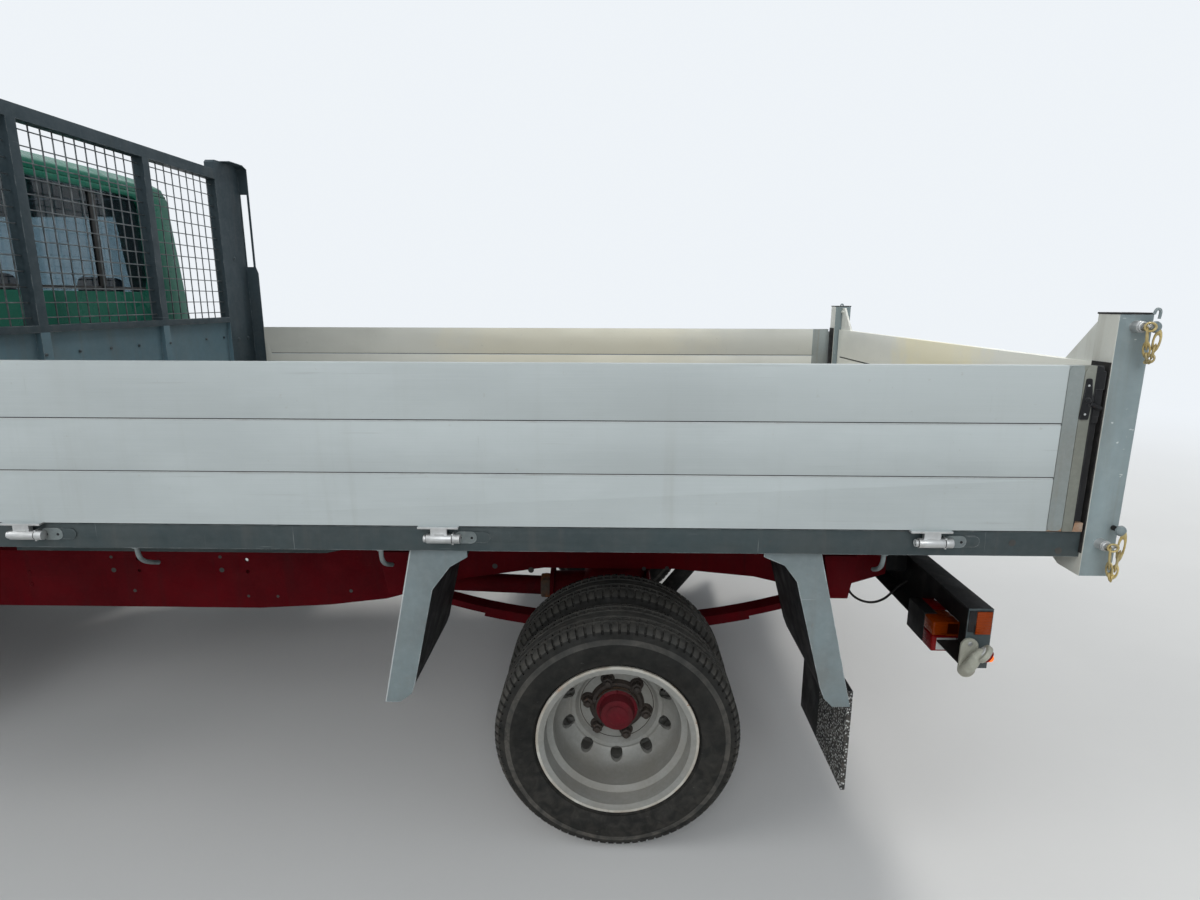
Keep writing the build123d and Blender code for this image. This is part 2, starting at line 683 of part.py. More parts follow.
glass_thickness = 5
glass_inset = 15
door_hinge_x = door_front_x + 3
door_hinge_y = waist_half_width + 10
door_hinge_radius = 9
door_pin_radius = 5
mirror_arm_z = 1215
mirror_reach = 158
mirror_height = 215
handle_z = 1060
handle_length = 130
lower_hinge_z = 860
upper_hinge_z = 1105
for name, sign in sides:
    with BuildPart() as door:
        add(cab_skin.part)
        side_plate(door_points(0), sign * 600, 1200, Mode.INTERSECT)
        side_plate([(door_rear_x - 5, 0), (door_front_x + 5, 0), (door_front_x + 5, 3000), (door_rear_x - 5, 3000)],
                   sign * 800, 400, Mode.INTERSECT)
        side_plate(window_points(0), sign * 800, 500, Mode.SUBTRACT)
        # mirror head on its arm
        arm_x = door_front_x - 60
        rod_y(arm_x, mirror_arm_z, sign * (waist_half_width - 20), sign * (waist_half_width + 85), 11)
        block(arm_x - 26, arm_x + 26, sign * (waist_half_width + 65), sign * (waist_half_width + 84), mirror_arm_z - 10,
              mirror_arm_z + mirror_height + 20)
        block(arm_x - 30, arm_x + 22, sign * (waist_half_width - 8), sign * (waist_half_width + mirror_reach),
              mirror_arm_z + 10, mirror_arm_z + 10 + mirror_height)
        block(arm_x - 31, arm_x + 40, sign * (waist_half_width - 10), sign * (waist_half_width + 20), mirror_arm_z + 10,
              mirror_arm_z + mirror_height + 25, Mode.SUBTRACT)
        # handle
        handle_x = door_rear_x + 35
        block(handle_x, handle_x + handle_length, sign * (waist_half_width - 1), sign * (waist_half_width + 17),
              handle_z - 11, handle_z + 11)
        # moving half of each hinge
        for z in (lower_hinge_z, upper_hinge_z):
            block(door_front_x - 70, door_hinge_x, sign * (waist_half_width - 1), sign * (waist_half_width + 6), z - 20, z + 20)
            rod_z(door_hinge_x, sign * door_hinge_y, z - 20, z + 20, door_hinge_radius)
            rod_z(door_hinge_x, sign * door_hinge_y, z - 21, z + 21, door_pin_radius + 0.5, Mode.SUBTRACT)
    save(door, f"door_{name}")
    with BuildPart() as door_glass:
        add(cab_envelope(glass_inset))
        add(cab_envelope(glass_inset + glass_thickness), mode=Mode.SUBTRACT)
        side_plate(window_points(-seat_gap), sign * 800, 400, Mode.INTERSECT)
    save(door_glass, f"door_glass_{name}")

with BuildPart() as cab_roof:
    add(cab_skin.part)
    block(cab_back_x - 5, cowl_x, -1200, 1200, roof_joint_z, roof_z + 10, Mode.INTERSECT)
save(cab_roof, "cab_roof")

rear_window_half = 650
rear_window_low = 1530
rear_window_high = 1950
pillar_joint_x = door_rear_x - shut_line
with BuildPart() as cab_rear_wall:
    add(cab_skin.part)
    block(cab_back_x - 5, pillar_joint_x, -1200, 1200, sill_bottom, roof_joint_z - seat_gap, Mode.INTERSECT)
    block(cab_back_x - 5, pillar_joint_x + 5, -800, 800, sill_bottom - 5, cab_floor_z - 10, Mode.SUBTRACT)
    with BuildSketch(at_x(cab_back_x)) as window:
        with Locations((0, (rear_window_low + rear_window_high) / 2)):
            RectangleRounded(2 * rear_window_half, rear_window_high - rear_window_low, 60)
    extrude(window.sketch, amount=cab_wall + 10, both=True, mode=Mode.SUBTRACT)
save(cab_rear_wall, "cab_rear_wall")

screen_low_z = cowl_z + 45
screen_high_z = header_z - 55
with BuildPart() as cab_front_frame:
    add(cab_skin.part)
    block(pillar_joint_x + seat_gap, cowl_x + 5, -1200, 1200, sill_bottom - 5, roof_joint_z - seat_gap, Mode.INTERSECT)
    # door openings
    side_plate(door_points(shut_line), 0, 2400, Mode.SUBTRACT)
    block(pillar_joint_x - 5, door_front_x - 60, -1200, 1200, door_bottom_z - shut_line, door_bottom_z + 60, Mode.SUBTRACT)
    # windscreen opening
    cross_plate([(-795, screen_low_z), (795, screen_low_z), (715, screen_high_z), (-715, screen_high_z)],
                front_x(200), 900, Mode.SUBTRACT)
    # room for the wheels and engine under the cowl
    block(front_x(-420), cowl_x + 5, -1200, 1200, sill_bottom - 5, cowl_z - 90, Mode.SUBTRACT)
    for sign in (1, -1):
        fixed_door_hinge(sign, upper_hinge_z)
    # lugs and pins of the bonnet's hinges
    for y in bonnet_hinge_ys:
        rod_y(bonnet_hinge_x, bonnet_hinge_z, y - 22, y + 22, 9, Mode.SUBTRACT)
        rod_y(bonnet_hinge_x, bonnet_hinge_z, y - 32, y + 32, 4)
        for middle in (y - 28, y + 28):
            rod_y(bonnet_hinge_x, bonnet_hinge_z, middle - 5, middle + 5, 7)
            block(cowl_x - 8, bonnet_hinge_x, middle - 5, middle + 5, bonnet_hinge_z - 7, bonnet_hinge_z + 6)
save(cab_front_frame, "cab_front_frame")

floor_half_width = 900
with BuildPart() as cab_floor:
    low = [(cab_back_x + cab_wall + seat_gap, cab_floor_z - 10), (front_x(-425), cab_floor_z - 10),
           (front_x(-345), 740), (front_x(0), 740), (front_x(0), 1072)]
    high = [(front_x(-20), 1072), (front_x(-20), 760), (front_x(-355), 760),
            (front_x(-435), cab_floor_z + 10), (cab_back_x + cab_wall + seat_gap, cab_floor_z + 10)]
    side_plate(low + high, 0, 2 * floor_half_width)
    # rubber mounts on the rails
    for ahead in (-1180, -480):
        for sign in (1, -1):
            rod_z(front_x(ahead), sign * 400, rail_edge(wheelbase + ahead, 2) + seat_gap, cab_floor_z - 9, 28)
save(cab_floor, "cab_floor")

with BuildPart() as cab_glass:
    add(cab_envelope(14))
    add(cab_envelope(14 + glass_thickness), mode=Mode.SUBTRACT)
    cross_plate([(-795 + 1, screen_low_z + seat_gap), (795 - 1, screen_low_z + seat_gap),
                 (715 - 1, screen_high_z - seat_gap), (-715 + 1, screen_high_z - seat_gap)],
                front_x(200), 900, Mode.INTERSECT)
    with BuildSketch(at_x(cab_back_x + 18)) as pane:
        with Locations((0, (rear_window_low + rear_window_high) / 2)):
            RectangleRounded(2 * rear_window_half - 2 * seat_gap, rear_window_high - rear_window_low - 2 * seat_gap, 60)
    extrude(pane.sketch, amount=glass_thickness)
save(cab_glass, "cab_glass")

wheel_y = -470
wheel_tilt = 35
wheel_centre = (front_x(-470), wheel_y, 1190)
steering_plane = Plane(origin=wheel_centre, x_dir=(0, 1, 0), z_dir=(-sin(radians(wheel_tilt)), 0, cos(radians(wheel_tilt))))
column_radius = 22
column_length = 300
with BuildPart() as dashboard:
    side_plate([(front_x(-20.3), 820), (front_x(-20.3), 1078), (cowl_x - 41, 1078), (cowl_x - 41, 1112),
                (front_x(-150), 1140), (front_x(-290), 1100), (front_x(-335), 960), (front_x(-240), 820)],
               0, 2 * floor_half_width)
    # bore for the steering column
    with Locations(steering_plane):
        with Locations((0, 0, -column_length / 2)):
            Cylinder(column_radius + 0.5, column_length + 4, mode=Mode.SUBTRACT)
save(dashboard, "dashboard")

seat_floor = cab_floor_z + 10 + seat_gap
with BuildPart() as seats:
    for middle, width in ((-470, 500), (330, 900)):
        side_plate([(front_x(-640), seat_floor), (front_x(-640), 920), (front_x(-600), 980), (front_x(-650), 1045),
                    (front_x(-1040), 1015), (front_x(-1130), 1500), (front_x(-1150), 1610), (front_x(-1235), 1610),
                    (front_x(-1235), 1480), (front_x(-1190), 1000), (front_x(-1180), seat_floor)], middle, width)
save(seats, "seats")

with BuildPart() as steering_wheel:
    with Locations(steering_plane):
        Torus(190, 13)
        Cylinder(45, 30)
        Box(376, 34, 12)
        with Locations((0, 0, -column_length / 2)):
            Cylinder(column_radius, column_length)
save(steering_wheel, "steering_wheel")


# Nose: five sections joined by flat faces, then cut into bonnet, wings and front panel
nose_wall = 25
nose_sections = [
    (46, 962, 1160, 60), (420, 962, 1150, 80), (700, 938, 1068, 100), (840, 880, 965, 110), (885, 830, 900, 110),
]


def nose_envelope(inset):
    with BuildPart() as envelope:
        made = []
        for ahead, half_width, top, corner in nose_sections:
            x = front_x(ahead) - (inset if ahead > 800 else 0)
            w = half_width - inset
            t = top - inset
            r = corner
            with BuildSketch(at_x(x)) as section:
                with BuildLine():
                    Polyline((-w, t - r), (-w, bumper_top + 5), (w, bumper_top + 5), (w, t - r))
                    ThreePointArc((w, t - r), (w - r + r * cos(radians(45)), t - r + r * sin(radians(45))), (w - r, t))
                    Line((w - r, t), (-w + r, t))
                    ThreePointArc((-w + r, t), (-w + r - r * cos(radians(45)), t - r + r * sin(radians(45))), (-w, t - r))
                make_face()
            made.append(section.sketch)
        loft(sections=made, ruled=True)
    return envelope.part


with BuildPart() as nose_skin:
    add(nose_envelope(0))
    add(nose_envelope(nose_wall), mode=Mode.SUBTRACT)

bonnet_front_x = front_x(836)
bonnet_rear_x = cowl_x + shut_line
headlamp_low = 640
headlamp_high = 830
headlamp_inner_y = 545
headlamp_outer_y = 800
grille_half_width = 430
with BuildPart() as bonnet:
    add(nose_skin.part)
    block(bonnet_rear_x, bonnet_front_x, -bonnet_half_width, bonnet_half_width, 880, 1300, Mode.INTERSECT)
    for y in bonnet_hinge_ys:
        for middle in (y - 28, y + 28):
            rod_y(bonnet_hinge_x, bonnet_hinge_z, middle - 8, middle + 8, 10, Mode.SUBTRACT)
        rod_y(bonnet_hinge_x, bonnet_hinge_z, y - 19, y + 19, 7)
        rod_y(bonnet_hinge_x, bonnet_hinge_z, y - 34, y + 34, 4.5, Mode.SUBTRACT)
save(bonnet, "bonnet")

with BuildPart() as front_panels:
    add(nose_skin.part)
    block(bonnet_rear_x - 600, bonnet_front_x + shut_line, -(bonnet_half_width + shut_line),
          bonnet_half_width + shut_line, 880, 1300, Mode.SUBTRACT)
    block(front_x(40), cowl_x + seat_gap, -1200, 1200, cowl_z - 90 - seat_gap, 1300, Mode.SUBTRACT)
    rod_y(front_axle_x, axle_z, -1200, 1200, arch_radius, Mode.SUBTRACT)
    block(front_x(40), front_x(60), -880, 880, 400, 1300, Mode.SUBTRACT)
    for sign in (1, -1):
        block(front_x(700), front_x(900), sign * headlamp_inner_y, sign * headlamp_outer_y,
              headlamp_low, headlamp_high, Mode.SUBTRACT)
    block(front_x(780), front_x(900), -grille_half_width, grille_half_width, headlamp_low, headlamp_high, Mode.SUBTRACT)
    for sign in (1, -1):
        fixed_door_hinge(sign, lower_hinge_z)
save(front_panels, "front_panels")

with BuildPart() as headlamps:
    add(nose_envelope(3))
    block(front_x(780), front_x(900), -headlamp_outer_y + seat_gap, headlamp_outer_y - seat_gap,
          headlamp_low + seat_gap, headlamp_high - seat_gap, Mode.INTERSECT)
    block(front_x(700), front_x(900), -headlamp_inner_y - seat_gap, headlamp_inner_y + seat_gap, 600, 900, Mode.SUBTRACT)
save(headlamps, "headlamps")

grille_bar_count = 6
with BuildPart() as grille:
    block(front_x(864), front_x(880), -grille_half_width + seat_gap, grille_half_width - seat_gap,
          headlamp_low + seat_gap, headlamp_high - seat_gap)
    opening = grille_half_width - 18
    bar_step = (headlamp_high - headlamp_low) / (grille_bar_count + 1)
    for gap in range(grille_bar_count + 1):
        low = headlamp_low + gap * bar_step + 6
        high = low + bar_step - 12
        for y0, y1 in ((-opening, -opening / 3 - 5), (-opening / 3 + 5, opening / 3 - 5), (opening / 3 + 5, opening)):
            block(front_x(860), front_x(885), y0, y1, low, high, Mode.SUBTRACT)
save(grille, "grille")

with BuildPart() as bumper:
    outer = [(430, 972), (790, 948), (880, 860), (front_overhang, 600)]
    inner = [(front_overhang - 50, 600), (835, 835), (765, 915), (430, 935)]
    points = [(front_x(ahead), y) for ahead, y in outer]
    points += [(front_x(ahead), -y) for ahead, y in outer[::-1]]
    points += [(front_x(ahead), -y) for ahead, y in inner[::-1]]
    points += [(front_x(ahead), y) for ahead, y in inner]
    flat_plate(points, bumper_bottom, bumper_top - bumper_bottom)
    for sign in (1, -1):
        block(rear_x(rail_sections[-1][0]) + seat_gap, front_x(front_overhang - 45), sign * 375, sign * 425, 485, 550)
save(bumper, "bumper")


# Bed: two long beams, cross bearers, front and rear members and the outer side rails
beam_y = 400
beam_width = 60
beam_low = subframe_top + moving_gap
beam_raised = tip_hinge_z + 45
bearer_top = floor_top - floor_thickness - seat_gap
bearer_low = bearer_top - bearer_depth
bearer_width = 50
bearer_count = 11
rail_face_y = body_side_y - side_rail_inset
bearer_half = rail_face_y - side_rail_wall + 1
rail_front_x = headboard_rear_x - seat_gap
rail_rear_x = post_front_x + seat_gap
dropside_front_x = rear_x(1872)
hinge_pin_radius = 6
hinge_plate_half = 14
rope_hooks = [(1415, -24), (690, -22), (-700, 24)]
ram_bracket_gap = 31
bed_ear = 28
with BuildPart() as bed_frame:
    for sign in (1, -1):
        side_plate([(rear_x(-1120), beam_raised), (rear_x(-795), beam_raised), (rear_x(-745), beam_low),
                    (rear_x(1890), beam_low), (rear_x(1890), bearer_low + 1), (rear_x(-1120), bearer_low + 1)],
                   sign * beam_y, beam_width)
        # ears and pin of the tip hinge
        side_plate([(tip_hinge_x - 60, beam_raised + 1), (tip_hinge_x - 24, tip_hinge_z - 20),
                    (tip_hinge_x + 24, tip_hinge_z - 20), (tip_hinge_x + 60, beam_raised + 1)], sign * beam_y, bed_ear)
        rod_y(tip_hinge_x, tip_hinge_z, sign * (beam_y - bed_ear / 2), sign * (beam_y + bed_ear / 2), ear_radius - 2)
        rod_y(tip_hinge_x, tip_hinge_z, sign * 362, sign * 438, tip_pin_radius)
        # folded side rail
        y0 = sign * rail_face_y
        block(rail_rear_x, rail_front_x, y0, sign * (rail_face_y - side_rail_wall), side_rail_bottom, side_rail_top)
        for z in (side_rail_bottom, side_rail_top - side_rail_wall):
            block(rail_rear_x, rail_front_x, y0, sign * (rail_face_y - 40), z, z + side_rail_wall)
    bearer_span = (rear_x(1860) - rear_x(-1100)) / (bearer_count - 1)
    for bearer in range(bearer_count):
        x = rear_x(-1100) + bearer * bearer_span
        cross_plate([(-bearer_half, bearer_top), (-bearer_half, side_rail_bottom + 2), (-560, bearer_low),
                     (560, bearer_low), (bearer_half, side_rail_bottom + 2), (bearer_half, bearer_top)], x, bearer_width)
    block(rear_x(-1140), rear_x(-1124), -(body_side_y - post_depth - seat_gap), body_side_y - post_depth - seat_gap,
          bearer_low, side_rail_top)
    block(rear_x(1884), rail_front_x, -bearer_half, bearer_half, bearer_low, side_rail_top)
    # bracket that carries the ram's eye
    block(ram_x - 190, ram_x + 190, -70, 70, bearer_top - 10, bearer_top)
    for sign in (1, -1):
        side_plate([(ram_x - 60, bearer_top), (ram_x - 34, ram_eye_z - 30), (ram_x + 34, ram_eye_z - 30),
                    (ram_x + 60, bearer_top)], sign * (ram_bracket_gap + 4), 8)
        rod_y(ram_x, ram_eye_z, sign * ram_bracket_gap, sign * (ram_bracket_gap + 20), 16)
    # fixed half of each dropside hinge: round-ended plate, knuckle, pin and the pin's head
    for sign in (1, -1):
        for x in side_hinge_xs:
            half = hinge_barrel_length / 2
            knuckle_end = x - half - 20
            plate_end = x - half - 78
            block(plate_end, x - half - 2, sign * (rail_face_y - 1), sign * (rail_face_y + 4),
                  side_hinge_z - hinge_plate_half, side_hinge_z + hinge_plate_half)
            rod_y(plate_end, side_hinge_z, sign * (rail_face_y - 1), sign * (rail_face_y + 4), hinge_plate_half)
            block(knuckle_end, x - half - 2, sign * rail_face_y, sign * side_hinge_y, side_hinge_z - 6, side_hinge_z + 6)
            rod_x(sign * side_hinge_y, side_hinge_z, knuckle_end, x - half - 2, hinge_barrel_radius)
            rod_x(sign * side_hinge_y, side_hinge_z, knuckle_end, x + half + 6, hinge_pin_radius)
            rod_x(sign * side_hinge_y, side_hinge_z, x + half + 1.5, x + half + 7, hinge_barrel_radius - 2.5)
    # bent rope hooks under the side rails
    for ahead, run in rope_hooks:
        x = rear_x(ahead)
        for sign in (1, -1):
            side_plate([(x - 5, side_rail_bottom + 1), (x + 5, side_rail_bottom + 1), (x + 5, side_rail_bottom - 8),
                        (x + run * 0.55 + 4, side_rail_bottom - 26), (x + run + 2, side_rail_bottom - 33),
                        (x + run - 2, side_rail_bottom - 41), (x + run * 0.5 - 4, side_rail_bottom - 33),
                        (x - 5, side_rail_bottom - 10)], sign * (rail_face_y - 12), 8)
save(bed_frame, "bed_frame")

with BuildPart() as bed_floor:
    half = rail_face_y - 40 - seat_gap
    block(rear_x(-1122), rear_x(1882), -half, half, floor_top - floor_thickness, floor_top)
save(bed_floor, "bed_floor")

# Dropsides: three ribbed planks, end caps, and the moving half of each hinge
plank_joints = (1088, 1218)
end_cap_width = 48
end_cap_step = 2
latch_low = 1222
latch_high = 1296
for name, sign in sides:
    with BuildPart() as dropside:
        outer_y = sign * body_side_y
        inner_y = sign * (body_side_y - dropside_thickness)
        block(dropside_rear_x, dropside_front_x, outer_y, inner_y, dropside_bottom, dropside_top)
        for z in plank_joints:
            for y in (outer_y, inner_y):
                block(dropside_rear_x + 75, dropside_front_x - 30, y - 2, y + 2, z - 3, z + 3, Mode.SUBTRACT)
        # end cap with rounded top corners, its channel and the latch in it
        cap_front = dropside_rear_x + end_cap_width
        cap_outline = [(dropside_rear_x, dropside_bottom), (cap_front, dropside_bottom), (cap_front, dropside_top - 16),
                       (cap_front - 5, dropside_top - 5), (cap_front - 16, dropside_top),
                       (dropside_rear_x + 16, dropside_top), (dropside_rear_x + 5, dropside_top - 5),
                       (dropside_rear_x, dropside_top - 16)]
        side_plate(cap_outline, sign * (body_side_y + end_cap_step - 5), 10)
        block(dropside_rear_x - 1, dropside_rear_x + 6, sign * (body_side_y - dropside_thickness - 1), sign * (body_side_y + 9),
              dropside_top - 12, dropside_top + 1, Mode.SUBTRACT)
        block(dropside_rear_x - 1, dropside_rear_x + 20, sign * (body_side_y - 8), sign * (body_side_y + 9),
              dropside_bottom + 22, dropside_top - 55, Mode.SUBTRACT)
        block(dropside_rear_x + 2, dropside_rear_x + 17, sign * (body_side_y - 9), sign * (body_side_y - 1),
              latch_low, latch_high)
        rod_y(dropside_rear_x + 9, (latch_low + latch_high) / 2, sign * (body_side_y - 2), sign * (body_side_y + 4), 6)
        # hinge: flange under the planks, web and barrel
        for x in side_hinge_xs:
            block(x - 48, x + 52, sign * (rail_face_y + 5), sign * (side_hinge_y + 6), dropside_bottom - 5, dropside_bottom)
            block(x - 20, x + 20, sign * (side_hinge_y - 7), sign * (side_hinge_y + 6), side_hinge_z, dropside_bottom - 1)
            rod_x(sign * side_hinge_y, side_hinge_z, x - hinge_barrel_length / 2, x + hinge_barrel_length / 2,
                  hinge_barrel_radius)
            rod_x(sign * side_hinge_y, side_hinge_z, x - 40, x + 40, hinge_pin_radius + 0.5, Mode.SUBTRACT)
    save(dropside, f"dropside_{name}")

# Rear corner posts with the bores of the tailgate's top pins and their outer fasteners
post_wall = 5
pin_radius = 9
post_inner_y = body_side_y - post_depth
with BuildPart() as rear_posts:
    for sign in (1, -1):
        block(post_front_x - post_length, post_front_x, sign * post_inner_y, sign * body_side_y, post_bottom, post_top)
        block(post_front_x - post_length + post_wall, post_front_x - post_wall, sign * (post_inner_y + post_wall),
              sign * (body_side_y - post_wall), post_bottom - 1, post_top - post_wall, Mode.SUBTRACT)
        # wider foot of the front wall, and the thin cap
        cross_plate([(sign * (post_inner_y + 2), post_bottom), (sign * (post_inner_y - 12), post_bottom),
                     (sign * (post_inner_y - 36), post_bottom + 11), (sign * (post_inner_y - 36), post_bottom + 20),
                     (sign * (post_inner_y + 2), post_bottom + 30)], post_front_x - post_wall / 2, post_wall)
        block(post_front_x - post_length - 2, post_front_x + 2, sign * (post_inner_y - 2), sign * (body_side_y + 2),
              post_top - 4, post_top)
        rod_y(tailgate_x, top_pin_z, sign * (post_inner_y - 5), sign * (post_inner_y + 20), pin_radius + 0.5, Mode.SUBTRACT)
        for z in (top_pin_z, 927):
            rod_y(tailgate_x, z, sign * (body_side_y - 2), sign * (body_side_y + 22), 13)
save(rear_posts, "rear_posts")

tailgate_half = post_inner_y - 6
with BuildPart() as tailgate:
    block(tailgate_x - tailgate_thickness / 2, tailgate_x + tailgate_thickness / 2, -tailgate_half, tailgate_half,
          dropside_bottom, dropside_top)
    for z in plank_joints:
        for x in (tailgate_x - tailgate_thickness / 2, tailgate_x + tailgate_thickness / 2):
            block(x - 2, x + 2, -tailgate_half + 40, tailgate_half - 40, z - 3, z + 3, Mode.SUBTRACT)
    for sign in (1, -1):
        cross_plate([(sign * tailgate_half, dropside_top - 5), (sign * tailgate_half, top_pin_z + 20),
                     (sign * (tailgate_half - 30), top_pin_z + 20), (sign * (tailgate_half - 150), dropside_top - 5)],
                    tailgate_x, 10)
        rod_y(tailgate_x, top_pin_z, sign * (tailgate_half - 30), sign * (post_inner_y + 18), pin_radius)
save(tailgate, "tailgate")

# Headboard: folded frame, lower panel and mesh
hb_low = 860
hb_middle_x = headboard_rear_x + headboard_thickness / 2
upright_y = 325
upright_half = 20
lower_panel_top = 1386
with BuildPart() as headboard:
    half = body_side_y
    post_edge = half - headboard_post_width
    cross_plate([(-half, hb_low), (half, hb_low), (half, headboard_post_top - 14), (half - 40, headboard_post_top),
                 (post_edge + 14, headboard_post_top - 4), (post_edge, headboard_post_top - 16), (post_edge, headboard_top),
                 (-post_edge, headboard_top), (-post_edge, headboard_post_top - 16),
                 (-post_edge - 14, headboard_post_top - 4), (-half + 40, headboard_post_top),
                 (-half, headboard_post_top - 14)], hb_middle_x, headboard_thickness)
    frame_side = half - headboard_post_width
    top_bar = headboard_top - 46
    for sign in (1, -1):
        # outer flange that stands rearward from each post, with its long slot and folded cap
        flange_rear_x = headboard_rear_x - headboard_flange_depth
        side_plate([(headboard_rear_x + 1, hb_low + 28), (flange_rear_x - 11, hb_low + 28), (flange_rear_x - 11, 1632),
                    (flange_rear_x, 1664), (flange_rear_x, headboard_post_top - 14), (headboard_rear_x + 1, headboard_post_top - 14)],
                   sign * (half - headboard_flange_wall / 2), headboard_flange_wall)
        block(flange_rear_x + 10, headboard_rear_x - 4, sign * (half - 20), sign * (half + 1), 1664, 2022, Mode.SUBTRACT)
        cross_plate([(sign * half, headboard_post_top - 17), (sign * half, headboard_post_top - 14),
                     (sign * (half - 40), headboard_post_top), (sign * (post_edge + 60), headboard_post_top - 2),
                     (sign * (post_edge + 60), headboard_post_top - 6), (sign * (half - 40), headboard_post_top - 5)],
                    (headboard_rear_x + flange_rear_x) / 2, headboard_flange_depth + 1)
    for y0, y1 in ((-frame_side, -upright_y - upright_half), (-upright_y + upright_half, upright_y - upright_half),
                   (upright_y + upright_half, frame_side)):
        block(headboard_rear_x - 1, headboard_rear_x + headboard_thickness + 1, y0, y1, mesh_bottom, top_bar, Mode.SUBTRACT)
        # lower panel is a thin sheet in the frame
        block(headboard_rear_x - 1, hb_middle_x - 3, y0, y1, side_rail_top + 40, lower_panel_top, Mode.SUBTRACT)
        block(hb_middle_x + 3, headboard_rear_x + headboard_thickness + 1, y0, y1, hb_low + 40, lower_panel_top, Mode.SUBTRACT)
save(headboard, "headboard")

with BuildPart() as headboard_mesh:
    bays = ((-frame_side, -upright_y - upright_half), (-upright_y + upright_half, upright_y - upright_half),
            (upright_y + upright_half, frame_side))
    for y0, y1 in bays:
        rows = int((top_bar - mesh_bottom) / mesh_pitch)
        columns = int((y1 - y0) / mesh_pitch)
        with Locations(*[(hb_middle_x, (y0 + y1) / 2, mesh_bottom + (row + 0.5) * (top_bar - mesh_bottom) / rows)
                         for row in range(rows)]):
            Box(mesh_wire, y1 - y0 - 2 * seat_gap, mesh_wire)
        with Locations(*[(hb_middle_x + mesh_wire + seat_gap, y0 + (column + 0.5) * (y1 - y0) / columns,
                          (mesh_bottom + top_bar) / 2) for column in range(columns)]):
            Box(mesh_wire, mesh_wire, top_bar - mesh_bottom - 2 * seat_gap)
save(headboard_mesh, "headboard_mesh")

# Mudguard legs: curved plates hung from the side rails, and the guards behind them
leg_y = rail_face_y - 21.5
leg_thickness = 3
leg_lip = 16
leg_top = side_rail_bottom - seat_gap
front_leg = [(525, leg_top), (615, 455), (577, 455), (545, 480), (535, 506), (476, 774), (428, 837), (383, 864),
             (383, leg_top)]
rear_leg = [(-363, leg_top), (-363, 872), (-416, 849), (-449, 806), (-527, 512), (-540, 480), (-563, 457),
            (-609, 458), (-504, leg_top)]
with BuildPart() as mudguard_legs:
    for sign in (1, -1):
        for leg in (front_leg, rear_leg):
            side_plate([(rear_x(ahead), z) for ahead, z in leg], sign * leg_y, leg_thickness)
        # folded lips along the edges that face away from the wheel
        for edge, way in (((525, leg_top), (615, 455)), 1), (((-504, leg_top), (-596, 511)), -1):
            (a0, z0), (a1, z1) = edge
            side_plate([(rear_x(a0), z0), (rear_x(a1), z1), (rear_x(a1 - way * 3), z1), (rear_x(a0 - way * 3), z0)],
                       sign * (leg_y + leg_thickness / 2 - leg_lip / 2), leg_lip)
save(mudguard_legs, "mudguard_legs")

guard_inner_y = rear_wheel_y - 320
guard_outer_y = leg_y - leg_thickness / 2 - seat_gap
front_guard = [(577, 455), (545, 480), (535, 506), (476, 774), (428, 837), (383, 860)]
rear_guard = [(-363, 868), (-416, 849), (-449, 806), (-527, 512), (-540, 480), (-563, 457)]
guard_wall = 5
with BuildPart() as mudguards:
    for sign in (1, -1):
        middle = sign * (guard_inner_y + guard_outer_y) / 2
        width = guard_outer_y - guard_inner_y
        for line, way in ((front_guard, 1), (rear_guard, -1)):
            near = [(rear_x(ahead + way * 4), z) for ahead, z in line]
            far = [(rear_x(ahead + way * (4 + guard_wall)), z + 2) for ahead, z in line]
            side_plate(near + far[::-1], middle, width)
        block(rear_x(-604), rear_x(-616), sign * (guard_inner_y + 10), sign * (guard_outer_y - 1), 205, 500)
        block(rear_x(-560), rear_x(-606), sign * (guard_inner_y + 10), sign * guard_outer_y, 462, 470)
save(mudguards, "mudguards")


# Telescopic ram: trunnion barrel and four stages nested in it
ram_bores = [56, 47, 38, 29]
ram_outers = [64, 55.5, 46.5, 37.5, 28.5]
ram_tops = [85, 93, 100, 107]
ram_bottoms = [-245, -235, -230, -225, -220]
with BuildPart() as ram_barrel:
    rod_z(ram_x, 0, ram_foot_z + ram_bottoms[0], ram_foot_z + ram_tops[0], ram_outers[0])
    rod_z(ram_x, 0, ram_foot_z + ram_bottoms[0] + 8, ram_foot_z + ram_tops[0] + 1, ram_bores[0], Mode.SUBTRACT)
    for sign in (1, -1):
        rod_y(ram_x, ram_foot_z, sign * (ram_bores[0] + 3), sign * (cradle_half_gap + 13), 18)
        rod_y(ram_x, ram_foot_z, sign * (ram_outers[0] - 3), sign * (cradle_half_gap - 6), 28)
save(ram_barrel, "ram_barrel")

for stage in range(1, 5):
    with BuildPart() as ram_stage:
        top = ram_tops[stage] if stage < 4 else ram_eye_z - ram_foot_z - 10
        rod_z(ram_x, 0, ram_foot_z + ram_bottoms[stage], ram_foot_z + top, ram_outers[stage])
        if stage < 4:
            rod_z(ram_x, 0, ram_foot_z + ram_bottoms[stage] - 1, ram_foot_z + top + 1, ram_bores[stage], Mode.SUBTRACT)
        else:
            rod_y(ram_x, ram_eye_z, -25, 25, 24)
            rod_y(ram_x, ram_eye_z, -26, 26, 12.5, Mode.SUBTRACT)
    save(ram_stage, f"ram_stage_{stage}")
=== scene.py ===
import json
import bmesh
import bpy
from math import radians, sin, cos, pi, hypot, atan2
from mathutils import Matrix, Vector


